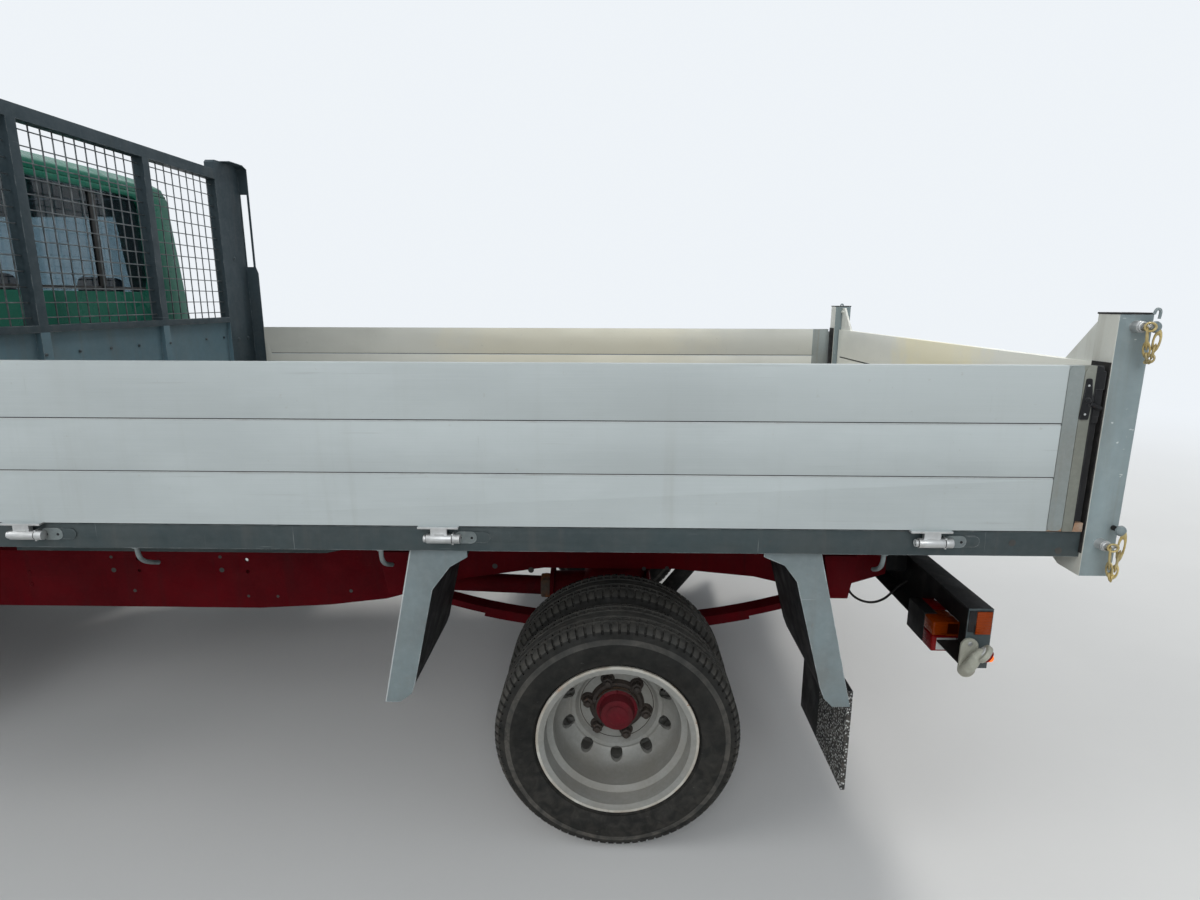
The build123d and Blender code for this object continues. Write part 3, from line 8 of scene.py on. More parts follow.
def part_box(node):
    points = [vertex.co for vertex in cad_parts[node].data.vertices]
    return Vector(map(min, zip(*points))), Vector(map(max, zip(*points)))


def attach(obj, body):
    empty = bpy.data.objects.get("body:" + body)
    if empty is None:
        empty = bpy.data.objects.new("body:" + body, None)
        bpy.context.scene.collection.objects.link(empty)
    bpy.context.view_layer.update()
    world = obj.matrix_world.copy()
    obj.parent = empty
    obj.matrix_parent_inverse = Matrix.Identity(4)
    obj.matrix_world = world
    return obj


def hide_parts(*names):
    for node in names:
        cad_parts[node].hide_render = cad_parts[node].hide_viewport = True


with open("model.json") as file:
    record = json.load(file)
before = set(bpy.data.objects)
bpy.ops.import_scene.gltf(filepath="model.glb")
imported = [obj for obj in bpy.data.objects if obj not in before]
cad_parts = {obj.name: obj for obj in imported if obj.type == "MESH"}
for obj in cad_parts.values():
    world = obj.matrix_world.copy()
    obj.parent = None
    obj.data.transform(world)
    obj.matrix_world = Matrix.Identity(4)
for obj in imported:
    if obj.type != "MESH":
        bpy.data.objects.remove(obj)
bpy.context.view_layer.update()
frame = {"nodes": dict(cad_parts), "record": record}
bodyOf = {node: body for body, nodes in frame["record"]["behaviour"]["bodies"].items() for node in nodes}
frontX = sum(c.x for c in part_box("front_axle")) / 2
rearX = sum(c.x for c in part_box("rear_wheels_left")) / 2
axleZ = 0.335
bothSides = (("left", 1), ("right", -1))
print("frame loaded", len(frame["nodes"]), "nodes")


# materials
class Wiring:
    # one material while its nodes are being joined
    def __init__(self, name):
        self.material = bpy.data.materials.new(name)
        self.material.use_nodes = True
        self.tree = self.material.node_tree
        self.shader = self.tree.nodes["Principled BSDF"]
        self.coords = self.tree.nodes.new("ShaderNodeTexCoord").outputs["Object"]
        split = self.tree.nodes.new("ShaderNodeSeparateXYZ")
        self.join(self.coords, split.inputs[0])
        self.x, self.y, self.z = split.outputs

    def join(self, value, socket):
        if isinstance(value, bpy.types.NodeSocket):
            self.tree.links.new(value, socket)
        elif isinstance(value, (tuple, list)) and len(value) == 3 and socket.type == "RGBA":
            socket.default_value = (*value, 1)
        else:
            socket.default_value = value

    def mapped(self, scale=(1, 1, 1), turn=(0, 0, 0), shift=(0, 0, 0)):
        node = self.tree.nodes.new("ShaderNodeMapping")
        self.join(self.coords, node.inputs["Vector"])
        node.inputs["Scale"].default_value = scale
        node.inputs["Rotation"].default_value = turn
        node.inputs["Location"].default_value = shift
        return node.outputs["Vector"]

    def cloud(self, scale, detail=5, stretch=(1, 1, 1), turn=(0, 0, 0), wobble=0.0, shift=(0, 0, 0)):
        node = self.tree.nodes.new("ShaderNodeTexNoise")
        self.join(self.mapped(stretch, turn, shift), node.inputs["Vector"])
        node.inputs["Scale"].default_value = scale
        node.inputs["Detail"].default_value = detail
        node.inputs["Roughness"].default_value = 0.6
        node.inputs["Distortion"].default_value = wobble
        return node.outputs["Fac"]

    def cells(self, scale, stretch=(1, 1, 1), feature="F1"):
        node = self.tree.nodes.new("ShaderNodeTexVoronoi")
        node.feature = feature
        self.join(self.mapped(stretch), node.inputs["Vector"])
        node.inputs["Scale"].default_value = scale
        return node.outputs["Distance"]

    def sum(self, kind, a, b=0.0, clamp=False):
        node = self.tree.nodes.new("ShaderNodeMath")
        node.operation = kind
        node.use_clamp = clamp
        self.join(a, node.inputs[0])
        self.join(b, node.inputs[1])
        return node.outputs[0]

    def limit(self, value, low, high, outLow=0.0, outHigh=1.0):
        node = self.tree.nodes.new("ShaderNodeMapRange")
        node.interpolation_type = "SMOOTHSTEP"
        self.join(value, node.inputs["Value"])
        node.inputs["From Min"].default_value = low
        node.inputs["From Max"].default_value = high
        node.inputs["To Min"].default_value = outLow
        node.inputs["To Max"].default_value = outHigh
        return node.outputs["Result"]

    def mix(self, amount, a, b):
        node = self.tree.nodes.new("ShaderNodeMix")
        node.data_type = "RGBA"
        self.join(amount, node.inputs[0])
        self.join(a, node.inputs[6])
        self.join(b, node.inputs[7])
        return node.outputs[2]

    def blend(self, amount, a, b):
        node = self.tree.nodes.new("ShaderNodeMix")
        self.join(amount, node.inputs[0])
        self.join(a, node.inputs[2])
        self.join(b, node.inputs[3])
        return node.outputs[0]

    def wornEdge(self, radius, low=0.02, high=0.12):
        bevel = self.tree.nodes.new("ShaderNodeBevel")
        bevel.samples = 4
        bevel.inputs["Radius"].default_value = radius
        plain = self.tree.nodes.new("ShaderNodeNewGeometry")
        dot = self.tree.nodes.new("ShaderNodeVectorMath")
        dot.operation = "DOT_PRODUCT"
        self.join(bevel.outputs[0], dot.inputs[0])
        self.join(plain.outputs["Normal"], dot.inputs[1])
        return self.limit(self.sum("SUBTRACT", 1.0, dot.outputs["Value"]), low, high)

    def bump(self, *layers):
        normal = None
        for height, strength, distance in layers:
            node = self.tree.nodes.new("ShaderNodeBump")
            node.inputs["Strength"].default_value = strength
            node.inputs["Distance"].default_value = distance
            self.join(height, node.inputs["Height"])
            if normal:
                self.join(normal, node.inputs["Normal"])
            normal = node.outputs["Normal"]
        self.join(normal, self.shader.inputs["Normal"])

    def finish(self, colour, rough, metal=0.0, **sockets):
        self.join(colour, self.shader.inputs["Base Color"])
        self.join(rough, self.shader.inputs["Roughness"])
        self.join(metal, self.shader.inputs["Metallic"])
        for name, value in sockets.items():
            self.join(value, self.shader.inputs[name.replace("_", " ")])
        return self.material


def weathered(name, look):
    # a coat of paint, plastic or metal with streaks, dust, chips and rust on it
    w = Wiring(name)
    colour = w.mix(w.limit(w.cloud(look.get("patch", 2.2), 5), 0.35, 0.65), look["colour"], look["shade"])
    grain = w.cloud(look.get("grain", 110), 6)
    colour = w.mix(w.sum("MULTIPLY", w.limit(grain, 0.35, 0.75), look.get("mottle", 0.2)), colour, look["tint"])
    if look.get("specks"):  # bright flecks of zinc where the paint is nicked
        speck = w.limit(w.cloud(38, 2, (1, 1, 1.6), shift=(4.4, 0.3, 8.1)), 0.70, 0.73, 0.0, look["specks"])
        colour = w.mix(speck, colour, (0.62, 0.66, 0.66))
    rough = w.limit(w.cloud(13, 7), 0.3, 0.7, *look["rough"])
    metal = look.get("metal", 0.0)
    scratchA = w.limit(w.cloud(3, 3, (1.2, 1.2, 55), (0.5, 0.35, 0.2)), 0.70, 0.76)
    scratchB = w.limit(w.cloud(3, 3, (60, 60, 1.6), (-0.4, 0.5, 0.1)), 0.71, 0.77)
    scratch = w.sum("MULTIPLY", w.sum("MAXIMUM", scratchA, scratchB), look.get("scratch", 0.3))
    colour = w.mix(scratch, colour, look.get("bare", look["tint"]))
    dirt = look["dirt"]
    streak = w.limit(w.cloud(1.0, 6, (24, 24, 1.3), wobble=0.3), 0.5, 0.78)
    streak = w.sum("MULTIPLY", streak, look.get("streak", 0.35))
    colour = w.mix(streak, colour, dirt)
    low = w.limit(w.z, *look.get("dustZ", (0.3, 1.5)), 1.0, look.get("dustTop", 0.15))
    dust = w.sum("MULTIPLY", low, w.limit(w.cloud(8, 9, wobble=0.4), 0.32, 0.72))
    dust = w.sum("MULTIPLY", dust, look.get("dust", 0.5))
    colour = w.mix(dust, colour, dirt)
    rough = w.blend(dust, rough, 0.92)
    rustAt = 0.78 - look.get("rust", 0.2) * 0.3
    rust = w.limit(w.cloud(6.5, 12, wobble=0.7, shift=(3.1, 1.7, 0.4)), rustAt - 0.03, rustAt + 0.03)
    fleck = w.limit(w.cloud(70, 6, shift=(0.7, 5.1, 2.2)), 0.66, 0.70)
    rust = w.sum("MAXIMUM", rust, w.sum("MULTIPLY", fleck, look.get("flecks", 0.3)))
    if look.get("edge"):
        worn = w.sum("MULTIPLY", w.wornEdge(0.004), w.limit(w.cloud(22, 8), 0.42, 0.6))
        colour = w.mix(w.sum("MULTIPLY", worn, look["edge"]), colour, look.get("bare", look["tint"]))
    rustColour = w.mix(w.limit(w.cloud(40, 8), 0.35, 0.65), (0.11, 0.035, 0.014), (0.33, 0.13, 0.045))
    rustLevel = w.sum("MULTIPLY", rust, min(1.0, look.get("rust", 0.2) * 3))
    colour = w.mix(rustLevel, colour, rustColour)
    rough = w.blend(rustLevel, rough, 0.95)
    if metal:
        metal = w.blend(w.sum("MAXIMUM", rustLevel, dust), metal, 0.0)
    w.bump((w.cloud(look.get("peel", 320), 2), look.get("peelDepth", 0.06), 0.001),
           (w.sum("SUBTRACT", rust, scratch), 0.25, 0.0012), (w.cloud(3.0, 3), 0.10, look.get("dent", 0.004)))
    return w.finish(colour, rough, metal, Coat_Weight=look.get("coat", 0.0), Coat_Roughness=0.25,
                    Specular_IOR_Level=look.get("gloss", 0.3))


dustBrown = (0.21, 0.185, 0.15)
cabGreen = weathered("cabGreen", {
    "colour": (0.008, 0.150, 0.094), "shade": (0.006, 0.124, 0.078), "tint": (0.018, 0.195, 0.13),
    "rough": (0.22, 0.42), "dirt": dustBrown, "dust": 0.22, "dustZ": (0.3, 1.1), "dustTop": 0.05, "streak": 0.08,
    "rust": 0.0, "bare": (0.10, 0.24, 0.18), "coat": 0.05, "edge": 0.2, "scratch": 0.08, "flecks": 0.0, "gloss": 0.12,
    "dent": 0.0012, "peelDepth": 0.03})
chassisRed = weathered("chassisRed", {
    "colour": (0.110, 0.0022, 0.0055), "shade": (0.068, 0.0015, 0.004), "tint": (0.15, 0.005, 0.009),
    "rough": (0.5, 0.75), "dirt": (0.028, 0.010, 0.010), "dust": 0.3, "dustZ": (0.2, 0.9), "streak": 0.3,
    "rust": 0.10, "flecks": 0.25, "bare": (0.10, 0.03, 0.03), "edge": 0.3, "gloss": 0.06})
# the next two greys are much darker copies of the grey paint of the posts and legs: painted shade
bodyGreyShaded = weathered("bodyGreyShaded", {
    "colour": (0.038, 0.057, 0.061), "shade": (0.030, 0.045, 0.049), "tint": (0.062, 0.082, 0.087), "grain": 45,
    "mottle": 0.3, "rough": (0.36, 0.6), "dirt": (0.10, 0.095, 0.085), "dust": 0.35, "streak": 0.3, "rust": 0.08,
    "flecks": 0.25, "bare": (0.36, 0.38, 0.38), "edge": 0.5, "scratch": 0.3})
headGreyShaded = weathered("headGreyShaded", {
    "colour": (0.036, 0.056, 0.068), "shade": (0.028, 0.045, 0.055), "tint": (0.07, 0.092, 0.105), "grain": 60,
    "mottle": 0.3, "rough": (0.4, 0.65), "dirt": (0.075, 0.078, 0.075), "dust": 0.25, "dustZ": (0.9, 2.2),
    "streak": 0.35, "rust": 0.04, "flecks": 0.15, "bare": (0.30, 0.33, 0.34), "edge": 0.6, "scratch": 0.3,
    "gloss": 0.2})
headPanel = weathered("headPanel", {
    "colour": (0.110, 0.190, 0.230), "shade": (0.090, 0.160, 0.198), "tint": (0.135, 0.21, 0.245), "grain": 50,
    "mottle": 0.3, "rough": (0.36, 0.6), "dirt": (0.12, 0.13, 0.125), "dust": 0.25, "dustZ": (0.9, 2.2),
    "streak": 0.35, "rust": 0.04, "flecks": 0.15, "bare": (0.38, 0.42, 0.42), "edge": 0.5, "scratch": 0.35})
plateGrey = weathered("plateGrey", {
    "colour": (0.150, 0.180, 0.182), "shade": (0.12, 0.145, 0.15), "tint": (0.22, 0.25, 0.25), "patch": 20,
    "grain": 90, "mottle": 0.4, "rough": (0.4, 0.65), "dirt": (0.11, 0.10, 0.08), "dust": 0.3, "rust": 0.10,
    "flecks": 0.4, "bare": (0.42, 0.44, 0.44), "edge": 0.7})
postGrey = weathered("postGrey", {
    "colour": (0.235, 0.292, 0.302), "shade": (0.205, 0.258, 0.270), "tint": (0.30, 0.36, 0.37), "patch": 4,
    "grain": 30, "mottle": 0.35, "rough": (0.38, 0.6), "dirt": (0.17, 0.16, 0.13), "dust": 0.3, "streak": 0.3,
    "rust": 0.08, "flecks": 0.2, "bare": (0.60, 0.63, 0.62), "edge": 0.7, "scratch": 0.35, "specks": 0.8})
legGrey = weathered("legGrey", {
    "colour": (0.185, 0.228, 0.236), "shade": (0.155, 0.195, 0.205), "tint": (0.25, 0.295, 0.30), "patch": 4,
    "grain": 50, "mottle": 0.3, "rough": (0.36, 0.58), "dirt": (0.15, 0.13, 0.11), "dust": 0.4, "dustZ": (0.4, 1.0),
    "streak": 0.3, "rust": 0.12, "flecks": 0.3, "bare": (0.58, 0.60, 0.60), "edge": 0.9, "scratch": 0.3})
# light grey laid along edges and lips: painted highlight
paintedEdgeHighlight = weathered("paintedEdgeHighlight", {
    "colour": (0.50, 0.53, 0.53), "shade": (0.42, 0.45, 0.45), "tint": (0.62, 0.64, 0.64), "rough": (0.35, 0.55),
    "dirt": (0.25, 0.23, 0.2), "dust": 0.3, "rust": 0.05, "flecks": 0.2})
whitePaint = weathered("whitePaint", {
    "colour": (0.72, 0.735, 0.68), "shade": (0.64, 0.655, 0.60), "tint": (0.78, 0.79, 0.75), "rough": (0.35, 0.55),
    "dirt": (0.30, 0.26, 0.19), "dust": 0.35, "dustZ": (0.9, 1.6), "streak": 0.4, "rust": 0.12, "flecks": 0.3,
    "edge": 0.3, "bare": (0.3, 0.29, 0.26)})
seamDark = weathered("seamDark", {
    "colour": (0.035, 0.038, 0.038), "shade": (0.05, 0.05, 0.048), "tint": (0.08, 0.08, 0.075), "rough": (0.6, 0.8),
    "dirt": (0.09, 0.08, 0.065), "dust": 0.5, "rust": 0.1})
guardBlack = weathered("guardBlack", {
    "colour": (0.009, 0.010, 0.012), "shade": (0.014, 0.014, 0.015), "tint": (0.03, 0.03, 0.031),
    "rough": (0.45, 0.75), "dirt": (0.075, 0.068, 0.058), "dust": 0.3, "dustZ": (0.2, 1.1), "streak": 0.25,
    "rust": 0.12, "bare": (0.14, 0.14, 0.14), "edge": 0.4, "gloss": 0.15})
moulding = weathered("moulding", {
    "colour": (0.022, 0.022, 0.023), "shade": (0.03, 0.03, 0.031), "tint": (0.055, 0.055, 0.055), "grain": 260,
    "rough": (0.5, 0.72), "dirt": dustBrown, "dust": 0.4, "streak": 0.15, "rust": 0.0, "flecks": 0.0, "peel": 700,
    "peelDepth": 0.25})
wheelSilver = weathered("wheelSilver", {
    "colour": (0.262, 0.264, 0.247), "shade": (0.22, 0.222, 0.205), "tint": (0.39, 0.39, 0.375), "patch": 7,
    "rough": (0.3, 0.5), "metal": 0.1, "dirt": (0.20, 0.175, 0.14), "dust": 0.4, "dustZ": (0.1, 0.62), "dustTop": 0.3,
    "streak": 0.15, "rust": 0.04, "flecks": 0.25, "bare": (0.22, 0.19, 0.16), "edge": 0.45, "scratch": 0.3})
# the rim's flange: rusty, and its silver painted about twice as light as the disc's: painted light
rimRustLit = weathered("rimRustLit", {
    "colour": (0.52, 0.51, 0.46), "shade": (0.40, 0.375, 0.32), "tint": (0.60, 0.59, 0.54), "patch": 22,
    "rough": (0.4, 0.7), "dirt": (0.12, 0.075, 0.045), "dust": 0.4, "dustZ": (0.1, 0.62), "dustTop": 0.6,
    "rust": 0.42, "flecks": 0.8, "bare": (0.22, 0.13, 0.08), "edge": 0.6})
nutBlack = weathered("nutBlack", {
    "colour": (0.022, 0.019, 0.018), "shade": (0.035, 0.026, 0.022), "tint": (0.06, 0.048, 0.04), "patch": 25,
    "mottle": 0.5, "rough": (0.5, 0.8), "metal": 0.2, "dirt": (0.10, 0.08, 0.06), "dust": 0.3, "dustZ": (0.1, 0.7),
    "rust": 0.22, "flecks": 0.35})
# its light tint, mixed in strongly at random, is partly bare wire and partly painted glints
meshWire = weathered("meshWire", {
    "colour": (0.085, 0.098, 0.105), "shade": (0.055, 0.066, 0.072), "tint": (0.26, 0.28, 0.29), "patch": 8,
    "grain": 35, "mottle": 0.6, "rough": (0.3, 0.5), "metal": 0.3, "dirt": (0.10, 0.095, 0.085), "dust": 0.2,
    "dustZ": (1.0, 2.4), "rust": 0.03, "flecks": 0.15})
hubRed = weathered("hubRed", {
    "colour": (0.135, 0.006, 0.014), "shade": (0.10, 0.007, 0.012), "tint": (0.22, 0.03, 0.04), "patch": 20,
    "rough": (0.5, 0.75), "dirt": (0.035, 0.02, 0.018), "dust": 0.4, "rust": 0.15, "flecks": 0.35,
    "bare": (0.08, 0.03, 0.03), "edge": 0.3, "gloss": 0.12})
drumIron = weathered("drumIron", {
    "colour": (0.07, 0.055, 0.045), "shade": (0.11, 0.06, 0.035), "tint": (0.16, 0.10, 0.06), "patch": 12,
    "mottle": 0.5, "rough": (0.6, 0.9), "metal": 0.3, "dirt": dustBrown, "dust": 0.4, "rust": 0.75, "flecks": 0.7})
castIron = weathered("castIron", {
    "colour": (0.085, 0.088, 0.09), "shade": (0.06, 0.06, 0.062), "tint": (0.15, 0.15, 0.15), "patch": 6,
    "mottle": 0.5, "rough": (0.42, 0.8), "metal": 0.5, "dirt": (0.03, 0.025, 0.02), "dust": 0.5, "rust": 0.35,
    "peel": 180, "peelDepth": 0.35})
rustyPipe = weathered("rustyPipe", {
    "colour": (0.20, 0.15, 0.12), "shade": (0.13, 0.075, 0.045), "tint": (0.3, 0.24, 0.2), "patch": 5, "mottle": 0.5,
    "rough": (0.5, 0.85), "metal": 0.5, "dirt": dustBrown, "dust": 0.4, "rust": 0.8, "flecks": 0.7})
zincSteel = weathered("zincSteel", {
    "colour": (0.50, 0.51, 0.51), "shade": (0.40, 0.41, 0.41), "tint": (0.66, 0.67, 0.66), "patch": 15, "grain": 60,
    "mottle": 0.5, "rough": (0.28, 0.5), "metal": 0.75, "dirt": (0.16, 0.14, 0.12), "dust": 0.3, "rust": 0.16,
    "flecks": 0.5, "edge": 0.3})
brassChain = weathered("brassChain", {
    "colour": (0.55, 0.42, 0.16), "shade": (0.36, 0.30, 0.16), "tint": (0.75, 0.66, 0.38), "patch": 30, "mottle": 0.5,
    "rough": (0.25, 0.5), "metal": 0.85, "dirt": (0.09, 0.06, 0.03), "dust": 0.5, "dustZ": (0.5, 3.0), "rust": 0.35,
    "flecks": 0.6})
ramSteel = weathered("ramSteel", {
    "colour": (0.55, 0.56, 0.58), "shade": (0.48, 0.49, 0.51), "tint": (0.7, 0.71, 0.72), "rough": (0.12, 0.3),
    "metal": 0.95, "dirt": (0.05, 0.04, 0.03), "dust": 0.35, "rust": 0.05, "flecks": 0.1})
creamRubber = weathered("creamRubber", {
    "colour": (0.40, 0.405, 0.34), "shade": (0.33, 0.335, 0.28), "tint": (0.50, 0.50, 0.43), "patch": 25,
    "rough": (0.5, 0.75), "dirt": (0.16, 0.13, 0.1), "dust": 0.55, "dustZ": (0.4, 1.0), "rust": 0.0, "flecks": 0.0})
floorSteel = weathered("floorSteel", {
    "colour": (0.36, 0.37, 0.36), "shade": (0.28, 0.28, 0.27), "tint": (0.5, 0.5, 0.48), "rough": (0.35, 0.6),
    "metal": 0.6, "dirt": (0.26, 0.21, 0.15), "dust": 0.75, "dustZ": (0.9, 3.0), "rust": 0.35, "flecks": 0.6,
    "scratch": 0.8, "bare": (0.6, 0.6, 0.58)})


def alloyBoard(name, colour, stainAndSun, stainAndSunAt, grimeMost=0.30):
    # extruded boards: drawn along their length, scuffed, with stains that run down, and one patch that is a rust stain
    # on the outer boards and a painted pool of sunlight on the inner boards and the tailgate
    w = Wiring(name)
    drawn = w.cloud(2.0, 4, (1.5, 260, 260))
    tone = w.mix(w.limit(w.cloud(1.3, 5, (1, 1, 2.5)), 0.35, 0.68), colour, tuple(c * 0.88 for c in colour))
    tone = w.mix(w.sum("MULTIPLY", w.limit(drawn, 0.35, 0.7), 0.10), tone, (0.62, 0.65, 0.65))
    scuff = w.limit(w.cloud(2.4, 4, (0.9, 30, 42), (0, 0.12, 0)), 0.66, 0.74)
    nick = w.limit(w.cloud(3.1, 3, (34, 34, 2.2), (0, -0.5, 0)), 0.72, 0.77)
    tone = w.mix(w.sum("MULTIPLY", w.sum("MAXIMUM", scuff, nick), 0.3), tone, (0.30, 0.31, 0.31))
    run = w.limit(w.cloud(1.0, 7, (17, 17, 1.0), wobble=0.2), 0.5, 0.8)
    low = w.limit(w.z, 0.95, 1.36, 0.8, 0.25)
    grime = w.sum("MULTIPLY", run, low)
    grime = w.sum("MULTIPLY", grime, grimeMost)
    tone = w.mix(grime, tone, (0.27, 0.26, 0.22))
    # the patch: rust on the outer boards; on the inner boards and the tailgate it is painted sunlight
    spot = w.sum("DIVIDE", w.sum("SUBTRACT", w.x, stainAndSunAt[0]), stainAndSunAt[2])
    reach = w.sum("ADD", w.sum("POWER", spot, 2.0),
                  w.sum("POWER", w.sum("DIVIDE", w.sum("SUBTRACT", w.y, stainAndSunAt[1]), stainAndSunAt[3]), 2.0))
    near = w.limit(w.sum("ADD", reach, w.sum("MULTIPLY", w.cloud(9, 6), 1.2)), 0.7, 1.6, stainAndSunAt[4], 0.0)
    tone = w.mix(near, tone, stainAndSun)
    joint = w.limit(w.cloud(55, 6), 0.68, 0.72, 0.0, 0.35)
    tone = w.mix(joint, tone, (0.34, 0.33, 0.3))
    rough = w.limit(w.cloud(5, 7), 0.3, 0.7, 0.36, 0.56)
    rough = w.blend(grime, rough, 0.8)
    w.bump((drawn, 0.05, 0.0006), (w.sum("MAXIMUM", scuff, nick), 0.2, -0.0006), (w.cloud(2.2, 2), 0.12, 0.006))
    return w.finish(tone, rough, 0.12)


boardAlloy = alloyBoard("boardAlloy", (0.45, 0.495, 0.495), (0.3, 0.16, 0.07), (rearX - 1.11, 0.0, 0.02, 50.0, 0.5))
# the dropsides' inner faces: a lighter, creamier copy of the board alloy, painted as if sunlit, with a painted pool of
# sunlight on the far board
sunlitInnerAlloy = alloyBoard("sunlitInnerAlloy", (0.60, 0.60, 0.54), (0.66, 0.62, 0.48), (rearX + 0.2, -1.03, 0.9, 0.5, 0.6), 0.2)
# the tailgate: a much lighter copy of the board alloy, painted as if sunlit, with a yellow painted pool of sunlight
# across its middle
sunlitTailAlloy = alloyBoard("sunlitTailAlloy", (0.84, 0.84, 0.76), (0.93, 0.86, 0.60), (rearX - 1.149, 0.10, 0.016, 0.42, 0.8),
                       0.06)
endAlloy = weathered("endAlloy", {
    "colour": (0.255, 0.287, 0.280), "shade": (0.222, 0.250, 0.244), "tint": (0.34, 0.365, 0.36), "rough": (0.4, 0.6),
    "metal": 0.4, "dirt": (0.2, 0.16, 0.11), "dust": 0.45, "dustZ": (0.94, 1.3), "streak": 0.4, "rust": 0.12,
    "flecks": 0.3, "edge": 0.4})
# the end cap's fold: the cap's alloy made darker and creamier, painted shade
endFoldPaintedShade = weathered("endFoldPaintedShade", {
    "colour": (0.215, 0.225, 0.195), "shade": (0.17, 0.18, 0.155), "tint": (0.30, 0.31, 0.27), "rough": (0.45, 0.7),
    "metal": 0.2, "dirt": (0.12, 0.10, 0.07), "dust": 0.5, "dustZ": (0.94, 1.3), "streak": 0.5, "rust": 0.12,
    "flecks": 0.3, "edge": 0.4})
endRust = weathered("endRust", {
    "colour": (0.30, 0.17, 0.10), "shade": (0.36, 0.31, 0.26), "tint": (0.4, 0.3, 0.2), "patch": 30,
    "rough": (0.6, 0.9), "dirt": (0.16, 0.09, 0.05), "dust": 0.6, "rust": 0.8, "flecks": 0.8})


def rubber(name, colour, dust, pattern=None):
    w = Wiring(name)
    tone = w.mix(w.limit(w.cloud(7, 6), 0.35, 0.65), colour, tuple(c * 1.5 for c in colour))
    low = w.limit(w.z, 0.0, 0.7, 1.0, 0.35)
    film = w.sum("MULTIPLY", w.sum("MULTIPLY", w.limit(w.cloud(34, 10, wobble=0.6), 0.30, 0.80), dust), low)
    tone = w.mix(film, tone, (0.19, 0.17, 0.145))
    scuff = w.limit(w.cloud(4, 3, (9, 30, 30)), 0.68, 0.76, 0.0, 0.35)
    tone = w.mix(scuff, tone, (0.11, 0.11, 0.105))
    layers = [(w.cloud(240, 4), 0.25, 0.0008), (w.cloud(26, 5), 0.15, 0.0015)]
    if pattern == "studs":  # moulded pips on a flap
        pip = w.limit(w.cells(135), 0.26, 0.46, 1.0, 0.0)
        tone = w.mix(w.sum("MULTIPLY", pip, w.limit(w.cloud(60, 3), 0.35, 0.6, 0.45, 1.0)), tone, (0.62, 0.63, 0.61))
        layers.append((pip, 0.9, 0.002))
    w.bump(*layers)
    return w.finish(tone, w.limit(w.cloud(30, 5), 0.3, 0.7, 0.55, 0.85), 0.0, Specular_IOR_Level=0.15)


tyreRubber = rubber("tyreRubber", (0.010, 0.0102, 0.0095), 0.16)
treadRubber = rubber("treadRubber", (0.030, 0.030, 0.028), 0.55)
flapRubber = rubber("flapRubber", (0.02, 0.02, 0.02), 0.6, "studs")
sealRubber = rubber("sealRubber", (0.012, 0.012, 0.012), 0.3)


def lens(name, colour, glow=0.0, ribs=(0, 0, 900)):
    w = Wiring(name)
    rib = w.sum("SINE", w.sum("MULTIPLY", w.z, ribs[2]))
    ribSide = w.sum("SINE", w.sum("MULTIPLY", w.y, ribs[1]))
    film = w.limit(w.cloud(30, 7), 0.5, 0.75, 0.0, 0.08)
    tone = w.mix(w.limit(w.cloud(12, 5), 0.3, 0.7), colour, tuple(c * 0.75 for c in colour))
    tone = w.mix(film, tone, (0.12, 0.10, 0.08))
    w.bump((w.sum("ADD", rib, ribSide), 0.35, 0.001), (w.cloud(90, 4), 0.1, 0.0008))
    return w.finish(tone, w.limit(w.cloud(20, 6), 0.3, 0.7, 0.12, 0.35), 0.0, Coat_Weight=0.08, Coat_Roughness=0.1,
                    Specular_IOR_Level=0.12, Emission_Color=(*colour, 1), Emission_Strength=glow)


# lensAmber glows faintly also on the bar's reflectors, which hold no lamp: painted glow
lensAmber = lens("lensAmber", (0.25, 0.034, 0.0006), 0.02)
lensRed = lens("lensRed", (0.20, 0.004, 0.005), 0.02)
lensClear = lens("lensClear", (0.55, 0.56, 0.55))
lensLit = lens("lensLit", (0.9, 0.16, 0.02), 0.9)
lampBowl = lens("lampBowl", (0.62, 0.64, 0.66), 0.0, (0, 420, 160))


def glazing(name, tint, film):
    w = Wiring(name)
    smear = w.limit(w.cloud(3.5, 8, (1, 1, 2), wobble=0.8), 0.45, 0.8, 0.0, film)
    tone = w.mix(smear, tint, (0.62, 0.62, 0.6))
    rough = w.sum("ADD", w.sum("MULTIPLY", smear, 0.10), 0.01)
    w.bump((w.cloud(1.2, 1), 0.02, 0.001))
    return w.finish(tone, rough, 0.0, Transmission_Weight=0.94, IOR=1.35)


clearGlass = glazing("clearGlass", (0.80, 0.88, 0.85), 0.35)
darkGlass = glazing("darkGlass", (0.13, 0.19, 0.24), 0.05)
mirrorGlass = weathered("mirrorGlass", {
    "colour": (0.75, 0.77, 0.78), "shade": (0.72, 0.74, 0.75), "tint": (0.8, 0.8, 0.8), "rough": (0.02, 0.08),
    "metal": 1.0, "dirt": dustBrown, "dust": 0.12, "rust": 0.0, "flecks": 0.0, "scratch": 0.0, "peelDepth": 0.0})


def cloth(name, colour, fleck):
    w = Wiring(name)
    warp = w.sum("SINE", w.sum("MULTIPLY", w.y, 2100))
    weft = w.sum("SINE", w.sum("MULTIPLY", w.sum("ADD", w.x, w.z), 2100))
    weave = w.sum("MULTIPLY", warp, weft)
    tone = w.mix(w.limit(weave, -0.6, 0.6), colour, tuple(c * 1.7 for c in colour))
    stripe = w.limit(w.sum("SINE", w.sum("MULTIPLY", w.y, 78)), 0.86, 0.93)
    tone = w.mix(w.sum("MULTIPLY", stripe, 0.6), tone, fleck)
    tone = w.mix(w.limit(w.cloud(5, 7), 0.45, 0.75, 0.0, 0.45), tone, (0.16, 0.14, 0.12))
    w.bump((weave, 0.5, 0.0009), (w.cloud(14, 4), 0.25, 0.004))
    return w.finish(tone, 0.9, 0.0, Sheen_Weight=0.4, Sheen_Roughness=0.5)


